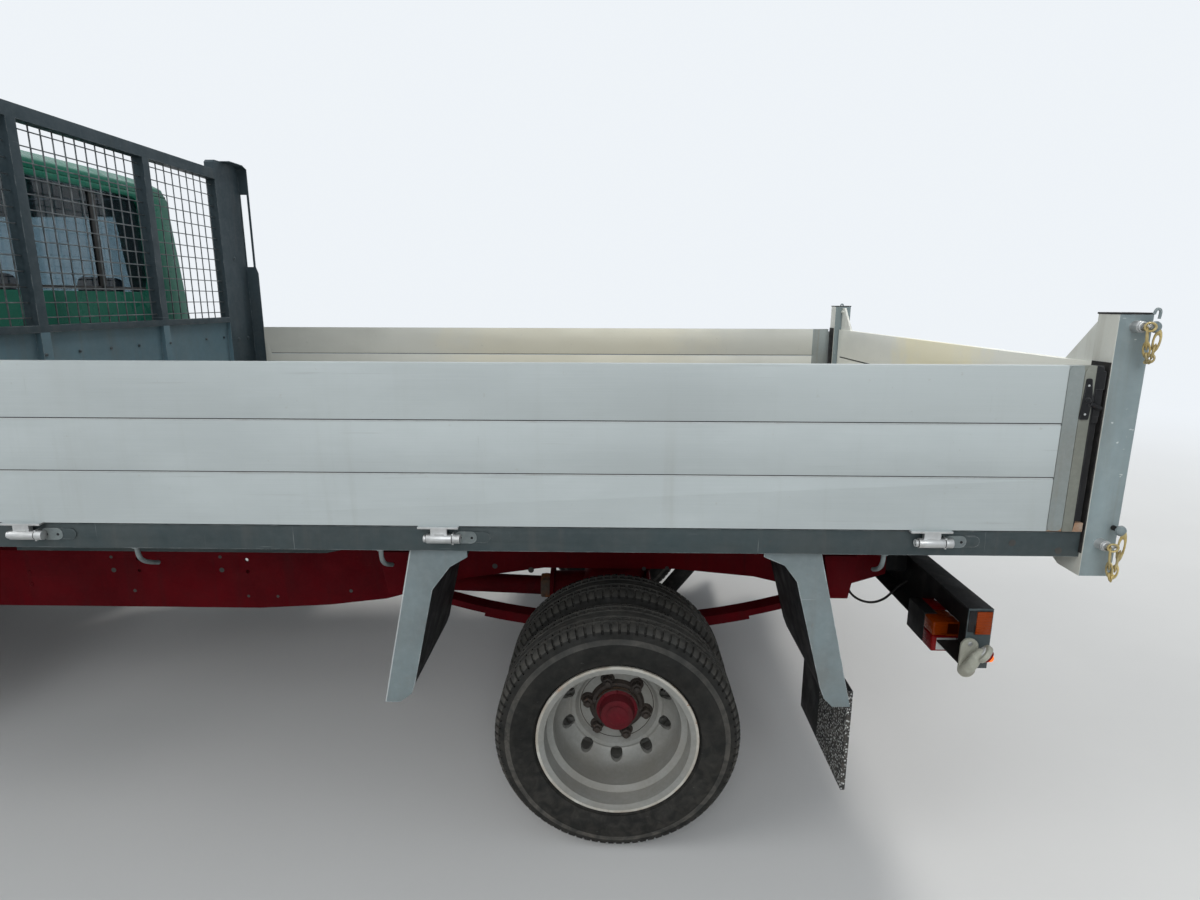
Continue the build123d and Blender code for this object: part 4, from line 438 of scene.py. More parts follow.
seatCloth = cloth("seatCloth", (0.035, 0.038, 0.05), (0.07, 0.10, 0.16))
print("materials made", len(bpy.data.materials))


# shaping helpers
def shade(bm, sharp=33):
    bmesh.ops.remove_doubles(bm, verts=bm.verts, dist=1e-5)
    for edge in bm.edges:
        edge.smooth = len(edge.link_faces) == 2 and edge.calc_face_angle(0) < radians(sharp)
    for face in bm.faces:
        face.smooth = True


def dye(bm, index):
    # what has been added since the last dye gets this material of the piece
    for face in bm.faces:
        if face.material_index == 0:
            face.material_index = index + 1


def settle(name, bm, material, body, stands=(), sharp=33, turnOut=True, dyed=False):
    # makes the piece an object that rides on its body
    if dyed:
        dye(bm, 0)
        for face in bm.faces:
            face.material_index -= 1
    if turnOut:
        bmesh.ops.remove_doubles(bm, verts=bm.verts, dist=1e-5)
        bmesh.ops.recalc_face_normals(bm, faces=bm.faces)
    shade(bm, sharp)
    mesh = bpy.data.meshes.new(name)
    bm.to_mesh(mesh)
    bm.free()
    for one in material if isinstance(material, (list, tuple)) else [material]:
        mesh.materials.append(one)
    piece = bpy.data.objects.new(name, mesh)
    bpy.context.scene.collection.objects.link(piece)
    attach(piece, body)
    if stands:
        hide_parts(*stands)
    return piece


def put(bm, verts, turn=None, scale=None, at=(0, 0, 0)):
    matrix = Matrix.Translation(at)
    if turn is not None:
        matrix = matrix @ turn
    if scale is not None:
        matrix = matrix @ Matrix.Diagonal((*scale, 1))
    bmesh.ops.transform(bm, matrix=matrix, verts=verts)


def block(bm, low, high, bevel=0.0, segments=2):
    made = bmesh.ops.create_cube(bm, size=1)["verts"]
    low, high = Vector(low), Vector(high)
    put(bm, made, None, tuple(abs(c) for c in high - low), (low + high) / 2)
    if bevel:
        edges = list({e for v in made for e in v.link_edges})
        bmesh.ops.bevel(bm, geom=edges, offset=bevel, offset_type="OFFSET", segments=segments, profile=0.5,
                        affect="EDGES", material=-1, clamp_overlap=True)


def rod(bm, start, end, radius, segments=16, tip=None, bevel=0.0):
    start, end = Vector(start), Vector(end)
    along = end - start
    made = bmesh.ops.create_cone(bm, cap_ends=True, segments=segments, radius1=radius,
                                 radius2=radius if tip is None else tip, depth=along.length)["verts"]
    put(bm, made, along.to_track_quat("Z", "Y").to_matrix().to_4x4(), None, (start + end) / 2)
    if bevel:
        rim = list({e for v in made for e in v.link_edges if len(e.link_faces) == 2 and e.calc_face_angle(0) > 0.9})
        bmesh.ops.bevel(bm, geom=rim, offset=bevel, offset_type="OFFSET", segments=2, profile=0.5, affect="EDGES",
                        material=-1)


def bolt(bm, at, out, size=0.009, tall=0.008, washer=True):
    # hexagon head on a washer, out along its own direction
    at, out = Vector(at), Vector(out).normalized()
    if washer:
        rod(bm, at, at + out * 0.002, size * 1.25, 14)
    rod(bm, at + out * 0.002, at + out * (0.002 + tall), size, 6, bevel=size * 0.12)


def ball(bm, at, radius, squash=(1, 1, 1), segments=16):
    made = bmesh.ops.create_uvsphere(bm, u_segments=segments, v_segments=segments // 2 + 1, radius=radius)["verts"]
    put(bm, made, None, squash, at)


def lathe(bm, profile, centre, axis=(0, 1, 0), steps=48, closed=False):
    # profile in (place along the axis, radius); turned about the axis through centre
    axis = Vector(axis)
    side = Vector((0, 0, 1)) if abs(axis.z) < 0.9 else Vector((1, 0, 0))
    ring = [bm.verts.new(Vector(centre) + axis * along + side * radius) for along, radius in profile]
    edges = [bm.edges.new(pair) for pair in zip(ring, ring[1:])]
    if closed:
        edges.append(bm.edges.new((ring[-1], ring[0])))
    bmesh.ops.spin(bm, geom=ring + edges, cent=centre, axis=axis, dvec=(0, 0, 0), angle=2 * pi, steps=steps,
                   use_merge=True)


def hoop(bm, at, axis, radius, wire, pull=1.0, along=None, steps=18, sides=8):
    # a ring of wire about its axis; pull draws it out along a direction, as a chain's link is
    axis, at = Vector(axis).normalized(), Vector(at)
    side = (Vector(along) if along is not None else axis.orthogonal()).normalized()
    old = set(bm.verts)
    made = bmesh.ops.create_circle(bm, cap_ends=False, segments=sides, radius=wire)["verts"]
    put(bm, made, Matrix((side, axis, side.cross(axis))).transposed().to_4x4(), None, at + side * radius)
    edges = list({e for v in made for e in v.link_edges})
    bmesh.ops.spin(bm, geom=made + edges, cent=at, axis=axis, dvec=(0, 0, 0), angle=2 * pi, steps=steps, use_merge=True)
    if pull != 1.0:
        fresh = [v for v in bm.verts if v not in old]
        bmesh.ops.transform(bm, matrix=Matrix.Scale(pull, 4, side), verts=fresh, space=Matrix.Translation(-at))


def chain(bm, start, end, sag, links, radius=0.0062, wire=0.0021):
    # linked rings that hang between two points
    start, end = Vector(start), Vector(end)

    def hang(t):
        return start.lerp(end, t) - Vector((0, 0, sag * 4 * t * (1 - t)))

    for count in range(links):
        here, there = hang(count / links), hang((count + 1) / links)
        run = there - here
        across = run.orthogonal()
        hoop(bm, (here + there) / 2, across if count % 2 else across.cross(run), radius, wire,
             run.length * 0.68 / radius, run, 16, 7)


def lay(bm, old, origin, right, out):
    # sets what was made flat (x right, y up, z out) since old against a slanted face
    right, out = Vector(right).normalized(), Vector(out).normalized()
    matrix = Matrix.Translation(origin) @ Matrix((right, out.cross(right), out)).transposed().to_4x4()
    bmesh.ops.transform(bm, matrix=matrix, verts=[v for v in bm.verts if v not in old])


def pane(bm, corners, corner, depth, rim=0.0, normal=None):
    # a flat panel with rounded corners and this depth along its normal; rim leaves only a frame of that width
    old = set(bm.faces)
    face = bm.faces.new([bm.verts.new(c) for c in corners])
    face.normal_update()
    out = Vector(normal) if normal is not None else face.normal.copy()
    bmesh.ops.bevel(bm, geom=list(face.verts), offset=corner, offset_type="OFFSET", segments=5, profile=0.5,
                    affect="VERTICES", material=-1)
    if rim:
        inner = [f for f in bm.faces if f not in old]
        bmesh.ops.inset_region(bm, faces=inner, thickness=rim, use_even_offset=True)
        bmesh.ops.delete(bm, geom=inner, context="FACES_ONLY")
    region = [f for f in bm.faces if f not in old]
    grown = bmesh.ops.extrude_face_region(bm, geom=region)
    bmesh.ops.translate(bm, verts=[v for v in grown["geom"] if isinstance(v, bmesh.types.BMVert)], vec=out * depth)


def upright(x, sign, inner, outer, low, high):
    # corners of a rectangle that faces ahead or back
    return [(x, sign * inner, low), (x, sign * outer, low), (x, sign * outer, high), (x, sign * inner, high)]


def carve(bm, low, high, out, depth, rim=0.002):
    # sinks the part of a flat face that lies between two corners
    low, high, out = Vector(low), Vector(high), Vector(out)
    bm.normal_update()
    for axis in range(3):
        if abs(out[axis]) > 0.5:
            continue
        across = Vector([1.0 if i == axis else 0.0 for i in range(3)])
        for place in (low, high):
            faces = [f for f in bm.faces if f.normal.dot(out) > 0.9]
            geom = faces + list({e for f in faces for e in f.edges}) + list({v for f in faces for v in f.verts})
            bmesh.ops.bisect_plane(bm, geom=geom, dist=1e-5, plane_co=place, plane_no=across)
    bm.normal_update()
    inner = [f for f in bm.faces if f.normal.dot(out) > 0.9
             and all(low[i] - 1e-4 <= f.calc_center_median()[i] <= high[i] + 1e-4 for i in range(3))]
    bmesh.ops.inset_region(bm, faces=inner, thickness=rim, depth=-depth, use_even_offset=True)


def wireCurve(name, points, radius, smooth=True, fine=10):
    # a round wire through these points, still a curve
    curve = bpy.data.curves.new(name, "CURVE")
    curve.dimensions = "3D"
    curve.bevel_depth = radius
    curve.bevel_resolution = 3
    curve.use_fill_caps = True
    curve.resolution_u = fine
    line = curve.splines.new("NURBS" if smooth else "POLY")
    line.points.add(len(points) - 1)
    for point, place in zip(line.points, points):
        point.co = (*place, 1)
    if smooth:
        line.order_u = 3
        line.use_endpoint_u = True
    return curve


def bent(bm, points, radius, smooth=True):
    # a bent rod or pipe through these points, added to a piece
    carrier = bpy.data.objects.new("bentLine", wireCurve("bentLine", points, radius, smooth))
    mesh = bpy.data.meshes.new_from_object(carrier)
    bpy.data.objects.remove(carrier)
    bm.from_mesh(mesh)
    bpy.data.meshes.remove(mesh)


def islands(bm):
    # the closed pieces of a mesh, as lists of faces
    left, groups = set(bm.faces), []
    while left:
        wave = [left.pop()]
        group = list(wave)
        while wave:
            around = {f for face in wave for e in face.edges for f in e.link_faces} & left
            left -= around
            wave = list(around)
            group += wave
        groups.append(group)
    return groups


def dressed(node, material, width=0.0, choose=None, angle=30, segments=2, work=None):
    # a merged copy of a node with rounded edges; choose picks a material for each face
    bm = bmesh.new()
    bm.from_mesh(frame["nodes"][node].data)
    bmesh.ops.remove_doubles(bm, verts=bm.verts, dist=2e-5)
    bmesh.ops.dissolve_limit(bm, angle_limit=radians(0.8), verts=bm.verts, edges=bm.edges)
    if width:
        sharp = [e for e in bm.edges if len(e.link_faces) == 2 and e.calc_face_angle(0) > radians(angle)]
        bmesh.ops.bevel(bm, geom=sharp, offset=width, offset_type="OFFSET", segments=segments, profile=0.5,
                        affect="EDGES", material=-1, clamp_overlap=True)
    if work:
        work(bm)
    bmesh.ops.triangulate(bm, faces=[f for f in bm.faces if len(f.verts) > 4])
    if choose:
        for group in islands(bm):
            low = Vector([min(v.co[i] for f in group for v in f.verts) for i in range(3)])
            high = Vector([max(v.co[i] for f in group for v in f.verts) for i in range(3)])
            for face in group:
                face.material_index = choose(face.calc_center_median(), low, high)
    return settle(node + "_dressed", bm, material, bodyOf[node], (node,), turnOut=False)


# tyres
# half of the tyre's section as (from its middle, radius), from the bead to the tread's middle
tyreForm = {
    "steps": 180, "narrow": 0.0122, "groove": 0.0065,
    "half": [(0.056, 0.2052), (0.0685, 0.2064), (0.069, 0.2215), (0.074, 0.2232), (0.079, 0.2285), (0.0835, 0.2290),
        (0.0875, 0.2400), (0.0915, 0.2560), (0.0921, 0.2570), (0.0929, 0.2720), (0.0915, 0.2890), (0.0905, 0.2900),
        (0.0870, 0.3040), (0.0855, 0.3090), (0.0822, 0.3160), (0.0790, 0.3220), (0.0735, 0.3275), (0.0690, 0.3300),
        (0.0600, 0.3347), (0.0490, 0.3350), (0.0475, 0.3285), (0.0415, 0.3285), (0.0400, 0.3350), (0.0230, 0.3350),
        (0.0215, 0.3285), (0.0150, 0.3285), (0.0135, 0.3350), (0.0, 0.3350)]}


def buildTyre(bm, axleX, middleY):
    form = tyreForm
    half = form["half"]
    profile = half + [(-across, radius) for across, radius in half[-2::-1]]
    before = len(bm.faces)
    centre = Vector((axleX, middleY, axleZ))
    lathe(bm, profile, centre, steps=form["steps"], closed=True)
    bm.faces.ensure_lookup_table()
    new = bm.faces[before:]
    verts = list({v for f in new for v in f.verts})
    step = 2 * pi / form["steps"]

    def ring(co):
        return round(atan2(co.x - axleX, co.z - axleZ) / step) % form["steps"]

    odd = [v for v in verts if ring(v.co) % 2]
    bmesh.ops.rotate(bm, verts=odd, cent=centre, matrix=Matrix.Rotation(form["narrow"], 3, "Y"))
    grooves = []
    for face in new:
        spot = face.calc_center_median()
        across = abs(spot.y - middleY)
        radius = hypot(spot.x - axleX, spot.z - axleZ)
        if radius > 0.3165 and (across > 0.0485 or 0.0232 < across < 0.0398):
            width = max((a.co - b.co).length for a in face.verts for b in face.verts if abs(a.co.y - b.co.y) < 1e-6)
            if width < step * radius:
                grooves.append(face)
    bmesh.ops.inset_region(bm, faces=grooves, thickness=0.0008, depth=-form["groove"], use_even_offset=True)


for node in ("rear_tyres_left", "rear_tyres_right", "front_tyre_left", "front_tyre_right"):
    low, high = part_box(node)
    middle, axleX = (low.y + high.y) / 2, (low.x + high.x) / 2
    bm = bmesh.new()
    for across in ((-0.108, 0.108) if "rear" in node else (0.0,)):
        buildTyre(bm, axleX, middle + across)
    for face in bm.faces:  # dusty blocks and the polished line at their foot
        spot = face.calc_center_median()
        radius = hypot(spot.x - axleX, spot.z - axleZ)
        face.material_index = 1 if radius > 0.3215 and face.calc_area() > 2e-5 or 0.2925 < radius < 0.298 else 0
    settle(node + "_tread", bm, [tyreRubber, treadRubber], bodyOf[node], (node,))
print("tyres made")


# wheels, hubs and nuts
wheelLook = {
    "nuts": 6, "nutRing": 0.0865, "nutSize": 0.0165, "lobe": 0.021, "stud": 0.0085, "capBolts": 8, "capRing": 0.0555,
    "lineRing": 0.1065, "rustFrom": 0.2115, "redTo": 0.0605, "weightRing": 0.2075}
# where each hub's flange, its cap's edge and its tip stand, from where it is red, and the rim's balance weights
hubLook = {
    "rear_wheels_": {"axle": rearX, "face": 0.8264, "capEdge": 0.8515, "tip": 0.889, "redFrom": 0.815,
        "weights": (0.45, 2.7)},
    "front_wheel_": {"axle": frontX, "face": 0.9578, "capEdge": 0.9690, "tip": 0.9925, "redFrom": 0.945,
        "weights": ()}}


def hubPick(spot, low, high):
    radius = hypot(spot.x - (low.x + high.x) / 2, spot.z - axleZ)
    if high.z - axleZ > 0.16:  # a rim, rusty at its flange, whose silver there is painted much lighter than the disc's, as painted light
        return 3 if radius > wheelLook["rustFrom"] else 0
    outer = hubLook["rear_wheels_" if low.x < 0 else "front_wheel_"]["redFrom"]
    return 1 if abs(spot.y) > outer and radius < wheelLook["redTo"] else 2


def wheelNuts(bm, centre, out, capTall):
    # star flange with its nuts and studs, the hub's flange, the line in the disc and the dark rim of the cap
    look = wheelLook
    for count in range(look["nuts"]):
        turn = 2 * pi * count / look["nuts"] + 0.2
        reach = Vector((cos(turn), 0, sin(turn)))
        at = centre + reach * look["nutRing"]
        rod(bm, centre + reach * 0.058 + out * 0.004, at + out * 0.004, 0.012, 12, tip=look["lobe"] * 0.6)
        rod(bm, at, at + out * 0.007, look["lobe"], 20, tip=look["nutSize"] * 1.1)
        rod(bm, at + out * 0.007, at + out * 0.026, look["nutSize"], 6, tip=look["nutSize"] * 0.96, bevel=0.0022)
        rod(bm, at + out * 0.024, at + out * 0.036, look["stud"], 14, bevel=0.001)
        hoop(bm, at + out * 0.0345, out, look["stud"], 0.0007, steps=14, sides=5)
    lathe(bm, [(0.0005, 0.0625), (0.010, 0.0625), (0.013, 0.066), (0.012, 0.075), (0.0005, 0.0815)], centre, out, 40)
    for inner, outer, tall in ((look["lineRing"], look["lineRing"] + 0.0022, 0.0004),
                               (0.0470, 0.0640, capTall + 0.0010)):
        lathe(bm, [(tall - 0.0016, inner), (tall, inner), (tall, outer), (tall - 0.0016, outer)], centre, out, 72, True)


def hubCap(bm, axleX, sign, capEdge, tip):
    # small bolts on the cap's edge and the disc on its end
    ring = wheelLook["capRing"]
    for count in range(wheelLook["capBolts"]):
        turn = 2 * pi * count / wheelLook["capBolts"]
        at = (axleX + ring * cos(turn), sign * (capEdge - 0.0005), axleZ + ring * sin(turn))
        bolt(bm, at, (0, sign, 0), 0.0042, 0.004, True)
    lathe(bm, [(-0.001, 0.0), (-0.001, 0.030), (0.0006, 0.030), (0.0012, 0.027), (0.0012, 0.012), (0.0022, 0.010),
               (0.0022, 0.0)], (axleX, sign * (tip - 0.0004), axleZ), (0, sign, 0), 24)


def valveAndWeights(bm, axleX, sign, face, weights):
    base = Vector((axleX - 0.150, sign * (face + 0.050), axleZ - 0.125))
    rod(bm, base, base + Vector((0.0, sign * 0.038, -0.004)), 0.0035, 10)
    rod(bm, base + Vector((0.0, sign * 0.036, -0.004)), base + Vector((0.0, sign * 0.047, -0.005)), 0.0048, 10,
        bevel=0.001)
    rod(bm, base + Vector((0.0, sign * 0.010, -0.001)), base + Vector((0.0, sign * 0.014, -0.001)), 0.0065, 6)
    ring = wheelLook["weightRing"]
    for start, wide in zip(weights, (0.05, 0.035)):  # balance weights clipped to the rim's flange
        for part in range(5):
            turns = [start + (part - 2) * wide + half * wide / 2 for half in (-1, 1)]
            a, b = (Vector((axleX + ring * cos(turn), sign * (face + 0.166), axleZ + ring * sin(turn)))
                    for turn in turns)
            rod(bm, a, b, 0.0032, 8)


for side, sign in bothSides:
    for stem, hub in hubLook.items():
        node, axleX, face = stem + side, hub["axle"], hub["face"]
        dressed(node, [wheelSilver, hubRed, drumIron, rimRustLit], 0.0, hubPick)
        nuts, cap, valve = bmesh.new(), bmesh.new(), bmesh.new()
        wheelNuts(nuts, Vector((axleX, sign * face, axleZ)), Vector((0, sign, 0)), hub["capEdge"] - face)
        hubCap(cap, axleX, sign, hub["capEdge"], hub["tip"])
        settle(f"wheel_nuts_{node}", nuts, nutBlack, bodyOf[node])
        settle(f"hub_bolts_{node}", cap, hubRed, bodyOf[node])
        valveAndWeights(valve, axleX, sign, face, hub["weights"])
        settle(f"valve_{node}", valve, zincSteel, bodyOf[node])
print("wheels made")

# plain copies with rounded edges
# the tailgate's pins, each with its height, how far its knob stands above it and how far its chain sags
pinLook = {"x": rearX - 1.163, "knobX": rearX - 1.189, "pins": ((1.444, 0.0, 0.066), (0.927, 0.040, 0.088))}
plankJoints = (1.088, 1.218)
# the dropside's end cap behind the rear axle: its flat, its fold, painted darker as shade, and the dark end
capLook = {"start": -1.030, "shade": -1.0645, "black": -1.0915}


def nearJoint(spot):
    return any(abs(spot.z - joint) < 0.0036 for joint in plankJoints)


def isSeam(spot, faceIn, faceOut):
    depth = abs(spot.y)
    return nearJoint(spot) and (faceIn + 0.0002 < depth < faceIn + 0.0024
                                or faceOut - 0.0024 < depth < faceOut - 0.0002)


def cutAcross(bm, place, way):
    geom = list(bm.faces) + list(bm.edges) + list(bm.verts)
    bmesh.ops.bisect_plane(bm, geom=geom, dist=1e-5, plane_co=place, plane_no=way)


def sideWork(bm):
    for ahead in capLook.values():
        cutAcross(bm, (rearX + ahead, 0, 0), (1, 0, 0))
    for joint in plankJoints:
        cutAcross(bm, (0, 0, joint + 0.0004), (0, 0, 1))


def sidePick(spot, low, high):
    if spot.z < 0.9558:
        return 1
    ahead, depth = spot.x - rearX, abs(spot.y)
    if ahead > capLook["start"]:
        if isSeam(spot, 1.025, 1.05):
            # the light lip just below each joint is painted highlight
            return 7 if any(joint - 0.004 < spot.z < joint + 0.0004 for joint in plankJoints) else 3
        # inner faces take the lighter alloy, painted as if sunlit
        return 6 if depth < 1.0256 else 0
    if spot.z < 0.9785 and ahead < -1.046:
        return 5
    if ahead > capLook["shade"] or depth < 1.030:
        return 2
    # the fold gets the painted shade, the end behind it the black
    return 8 if ahead > capLook["black"] else 4


def bedWork(bm):  # the hooks under the rails are made again as bent rods, and their roots are closed
    hooks = [f for f in bm.faces if f.calc_center_median().z < 0.8872 and abs(f.calc_center_median().y) > 1.022]
    bmesh.ops.delete(bm, geom=hooks, context="FACES")
    bmesh.ops.holes_fill(bm, edges=[e for e in bm.edges if e.is_boundary], sides=0)


def bedPick(spot, low, high):
    if abs(spot.y) > 1.0452:
        return 1
    # the rail's light lower lip is painted highlight
    return 2 if spot.z < 0.8892 and abs(spot.y) > 1.0355 else 0


def gatePick(spot, low, high):
    depth = abs(spot.x - pinLook["x"])
    if nearJoint(spot) and 0.0126 < depth < 0.0148:
        return 2
    return 1 if spot.z > 1.3556 else 0  # the lip along its top is white


def barPick(spot, low, high):
    if abs(spot.y) > 0.9488:
        return 1
    # the bar's light upper rear edge is painted highlight
    return 2 if spot.z > 0.7045 and spot.x < rearX - 0.9895 else 0


def postPick(spot, low, high):
    if spot.z > 1.4708:
        return 1
    if abs(spot.y) > 1.0503:
        return 2
    return 3 if spot.x > rearX - 1.1262 and spot.x < rearX - 1.1245 else 0


def bumperWork(bm):
    for y0, y1, z0, z1, depth in ((-0.40, 0.40, 0.325, 0.405, 0.024), (-0.27, 0.27, 0.435, 0.535, 0.004),
                                  (0.455, 0.575, 0.360, 0.470, 0.020), (-0.575, -0.455, 0.360, 0.470, 0.020)):
        carve(bm, (2.80, y0, z0), (2.83, y1, z1), (1, 0, 0), depth, 0.004)


def bumperPick(spot, low, high):
    return 1 if 2.78 < spot.x < 2.8145 and abs(spot.y) < 0.575 and 0.32 < spot.z < 0.47 else 0


jobs = {
    "chassis_frame": (chassisRed, 0.0012), "leaf_springs": (chassisRed, 0.0), "rear_axle": (chassisRed, 0.0),
    "front_axle": (chassisRed, 0.002), "knuckle_left": (chassisRed, 0.001), "knuckle_right": (chassisRed, 0.001),
    "track_rod": (drumIron, 0.001), "tipper_subframe": (bodyGreyShaded, 0.0012), "headboard_mesh": (meshWire, 0.0008),
    "fuel_tank": (guardBlack, 0.002), "radiator": (guardBlack, 0.003), "engine": (castIron, 0.006),
    "exhaust": (rustyPipe, 0.0), "tail_pipe": (rustyPipe, 0.0), "dashboard": (moulding, 0.008),
    "steering_wheel": (moulding, 0.0), "grille": (moulding, 0.0015), "cab_floor": (moulding, 0.002),
    "cab_rear_wall": (cabGreen, 0.004), "cab_roof": (cabGreen, 0.006), "cab_front_frame": (cabGreen, 0.003),
    "front_panels": (cabGreen, 0.004), "bonnet": (cabGreen, 0.003), "door_glass_left": (clearGlass, 0.0),
    "door_glass_right": (clearGlass, 0.0), "bed_floor": (floorSteel, 0.0), "ram_stage_1": (ramSteel, 0.001),
    "ram_stage_2": (ramSteel, 0.001), "ram_stage_3": (ramSteel, 0.001), "ram_stage_4": (ramSteel, 0.001),
    "ram_barrel": (guardBlack, 0.002)}
for node, (material, width) in jobs.items():
    dressed(node, material, width)
for side in ("left", "right"):
    dressed("door_" + side, [cabGreen, moulding], 0.003, lambda spot, low, high: 1 if abs(spot.y) > 0.966 else 0)
    dressed("dropside_" + side, [boardAlloy, zincSteel, endAlloy, seamDark, guardBlack, endRust, sunlitInnerAlloy,
                                 paintedEdgeHighlight, endFoldPaintedShade], 0.001, sidePick, work=sideWork)
dressed("bed_frame", [bodyGreyShaded, zincSteel, paintedEdgeHighlight], 0.0012, bedPick, work=bedWork)
dressed("tailgate", [sunlitTailAlloy, whitePaint, seamDark], 0.0012, gatePick)
dressed("underrun_bar", [guardBlack, bodyGreyShaded, paintedEdgeHighlight], 0.0014, barPick)
dressed("rear_posts", [postGrey, guardBlack, zincSteel, whitePaint], 0.0016, postPick)
# the legs' light front edges are painted highlight
dressed("mudguard_legs", [legGrey, paintedEdgeHighlight], 0.0006,
        lambda spot, low, high: 1 if spot.x > rearX + 0.5235 + (0.888 - spot.z) * 0.2079 else 0)
# the flap's inner part, within 0.79 of the middle, gets the guard's plain black: painted shade
dressed("mudguards", [guardBlack, flapRubber], 0.0008,
        lambda spot, low, high: 1 if spot.z < 0.4995 and spot.x < rearX - 0.595 and abs(spot.y) > 0.79 else 0,
        work=lambda bm: [cutAcross(bm, (0, y, 0), (0, 1, 0)) for y in (-0.79, 0.79)])
dressed("headboard", [headPanel, headGreyShaded], 0.0018,
        lambda spot, low, high: 1 if abs(spot.y) > 0.868 or spot.z > 1.362 else 0)
dressed("cab_glass", [clearGlass, darkGlass], 0.0, lambda spot, low, high: 1 if spot.x < 0.72 else 0)
dressed("bumper", [moulding, seamDark], 0.008, bumperPick, work=bumperWork)
print("nodes dressed")

# rear lamps and the bar's reflectors
lampLook = {"middle": 0.715, "half": 0.085, "low": 0.502, "high": 0.594, "front": -0.912, "stalkX": -0.936,
            "stalkZ": 0.567}
lampMaterials = [guardBlack, lensAmber, lensRed, lensClear, creamRubber, lensLit, zincSteel]
for side, sign in bothSides:
    look = lampLook
    bm = bmesh.new()
    inner, outer = sign * (look["middle"] - look["half"]), sign * (look["middle"] + look["half"])
    split = sign * look["middle"]
    wing = outer - sign * 0.060
    block(bm, (rearX - 0.948, inner, look["low"]), (rearX + look["front"], wing, look["high"]), 0.004)
    block(bm, (rearX - 0.990, inner + sign * 0.002, look["low"] + 0.002),
          (rearX - 0.946, wing - sign * 0.002, look["high"] - 0.002), 0.001)
    dye(bm, 0)
    # amber corner
    block(bm, (rearX - 0.990, wing + sign * 0.001, 0.5515), (rearX + look["front"], outer, look["high"]), 0.005, 3)
    dye(bm, 1)
    block(bm, (rearX - 0.990, wing + sign * 0.001, look["low"]), (rearX + look["front"], outer, 0.5505), 0.005, 3)
    dye(bm, 2)
    block(bm, (rearX - 0.982, outer - sign * 0.001, 0.508), (rearX - 0.926, outer + sign * 0.0012, 0.545), 0.0008)
    dye(bm, 3)
    for y0, y1, z0, z1, index in ((split + sign * 0.001, outer, 0.5495, 0.5935, 1),
                                  (inner, split - sign * 0.001, 0.5495, 0.5935, 2),
                                  (split + sign * 0.001, outer, 0.5095, 0.5475, 3),
                                  (inner, split - sign * 0.001, 0.5025, 0.5475, 2),
                                  (split + sign * 0.001, outer, 0.5022, 0.5085, 2)):
        block(bm, (rearX - 1.003, y0, z0), (rearX - 0.951, y1, z1), 0.003)
        dye(bm, index)
    for y in (inner + sign * 0.012, split + sign * 0.012, outer - sign * 0.012):
        bolt(bm, (rearX - 1.0022, y, 0.5485), (-1, 0, 0), 0.0028, 0.001, False)
    dye(bm, 6)
    # stalk lamp: oval foot, tapered bent arm, disc with a red and a clear lens
    foot = Vector((rearX + look["stalkX"], sign * 0.9505, look["stalkZ"]))
    oval = ((-0.023, -0.056), (0.023, -0.056), (0.023, 0.056), (-0.023, 0.056))
    pane(bm, [foot + Vector((x, 0, z)) for x, z in oval], 0.022, 0.006, normal=(0, sign, 0))
    arm = [(0.006, 0.004, -0.034), (0.004, 0.016, -0.022), (0.000, 0.027, -0.002), (-0.006, 0.033, 0.018),
           (-0.014, 0.0365, 0.031)]
    for start, stop, thick in zip(arm, arm[1:], (0.0185, 0.0170, 0.0155, 0.0140)):
        a, b = (foot + Vector((x, sign * y, z)) for x, y, z in (start, stop))
        rod(bm, a, b, thick, 18, tip=thick * 0.92)
        ball(bm, b, thick * 0.95, segments=14)
    head = foot + Vector((-0.024, sign * 0.0375, 0.029))
    tilt = Vector((-0.80, sign * 0.30, -0.52)).normalized()
    rod(bm, head - tilt * 0.008, head + tilt * 0.006, 0.0255, 28, bevel=0.003)
    dye(bm, 4)
    for z in (-0.042, 0.042):
        rod(bm, foot + Vector((0, sign * 0.006, z)), foot + Vector((0, sign * 0.0085, z)), 0.0062, 14, bevel=0.0008)
        rod(bm, foot + Vector((0, sign * 0.0084, z)), foot + Vector((0, sign * 0.0092, z)), 0.0026, 8)
    dye(bm, 6)
    rod(bm, head + tilt * 0.006, head + tilt * 0.014, 0.0185, 24, tip=0.017, bevel=0.002)
    dye(bm, 2)
    ball(bm, head + tilt * 0.014, 0.0115, (0.8, 1, 1), 18)
    dye(bm, 5)
    rod(bm, head - tilt * 0.012, head - tilt * 0.006, 0.016, 24, bevel=0.002)
    dye(bm, 3)
    settle(f"rear_lamps_{side}", bm, lampMaterials, "chassis", ("rear_lamps",), dyed=True)
    # amber reflector on a black backing, on the bar's end plate
    bm = bmesh.new()
    block(bm, (rearX - 0.944, sign * 0.9500, 0.640), (rearX - 0.928, sign * 0.9535, 0.700), 0.001)
    block(bm, (rearX - 0.989, sign * 0.9500, 0.633), (rearX - 0.945, sign * 0.9525, 0.701), 0.001)
    dye(bm, 0)
    block(bm, (rearX - 0.987, sign * 0.9525, 0.635), (rearX - 0.947, sign * 0.9560, 0.699), 0.0012)
    dye(bm, 1)
    settle(f"end_reflector_{side}", bm, [guardBlack, lensAmber], "chassis", dyed=True)

# bolts of the underrun bar's brackets
barLook = {"faceX": rearX - 0.992, "boltsY": (0.388, 0.412), "boltsZ": (0.622, 0.660)}
bm = bmesh.new()
for sign in (1, -1):
    for z in barLook["boltsZ"]:
        for y in barLook["boltsY"]:
            bolt(bm, (barLook["faceX"], sign * y, z), (-1, 0, 0), 0.0075, 0.006)
settle("bar_bolts", bm, zincSteel, "chassis")
print("lamps made")

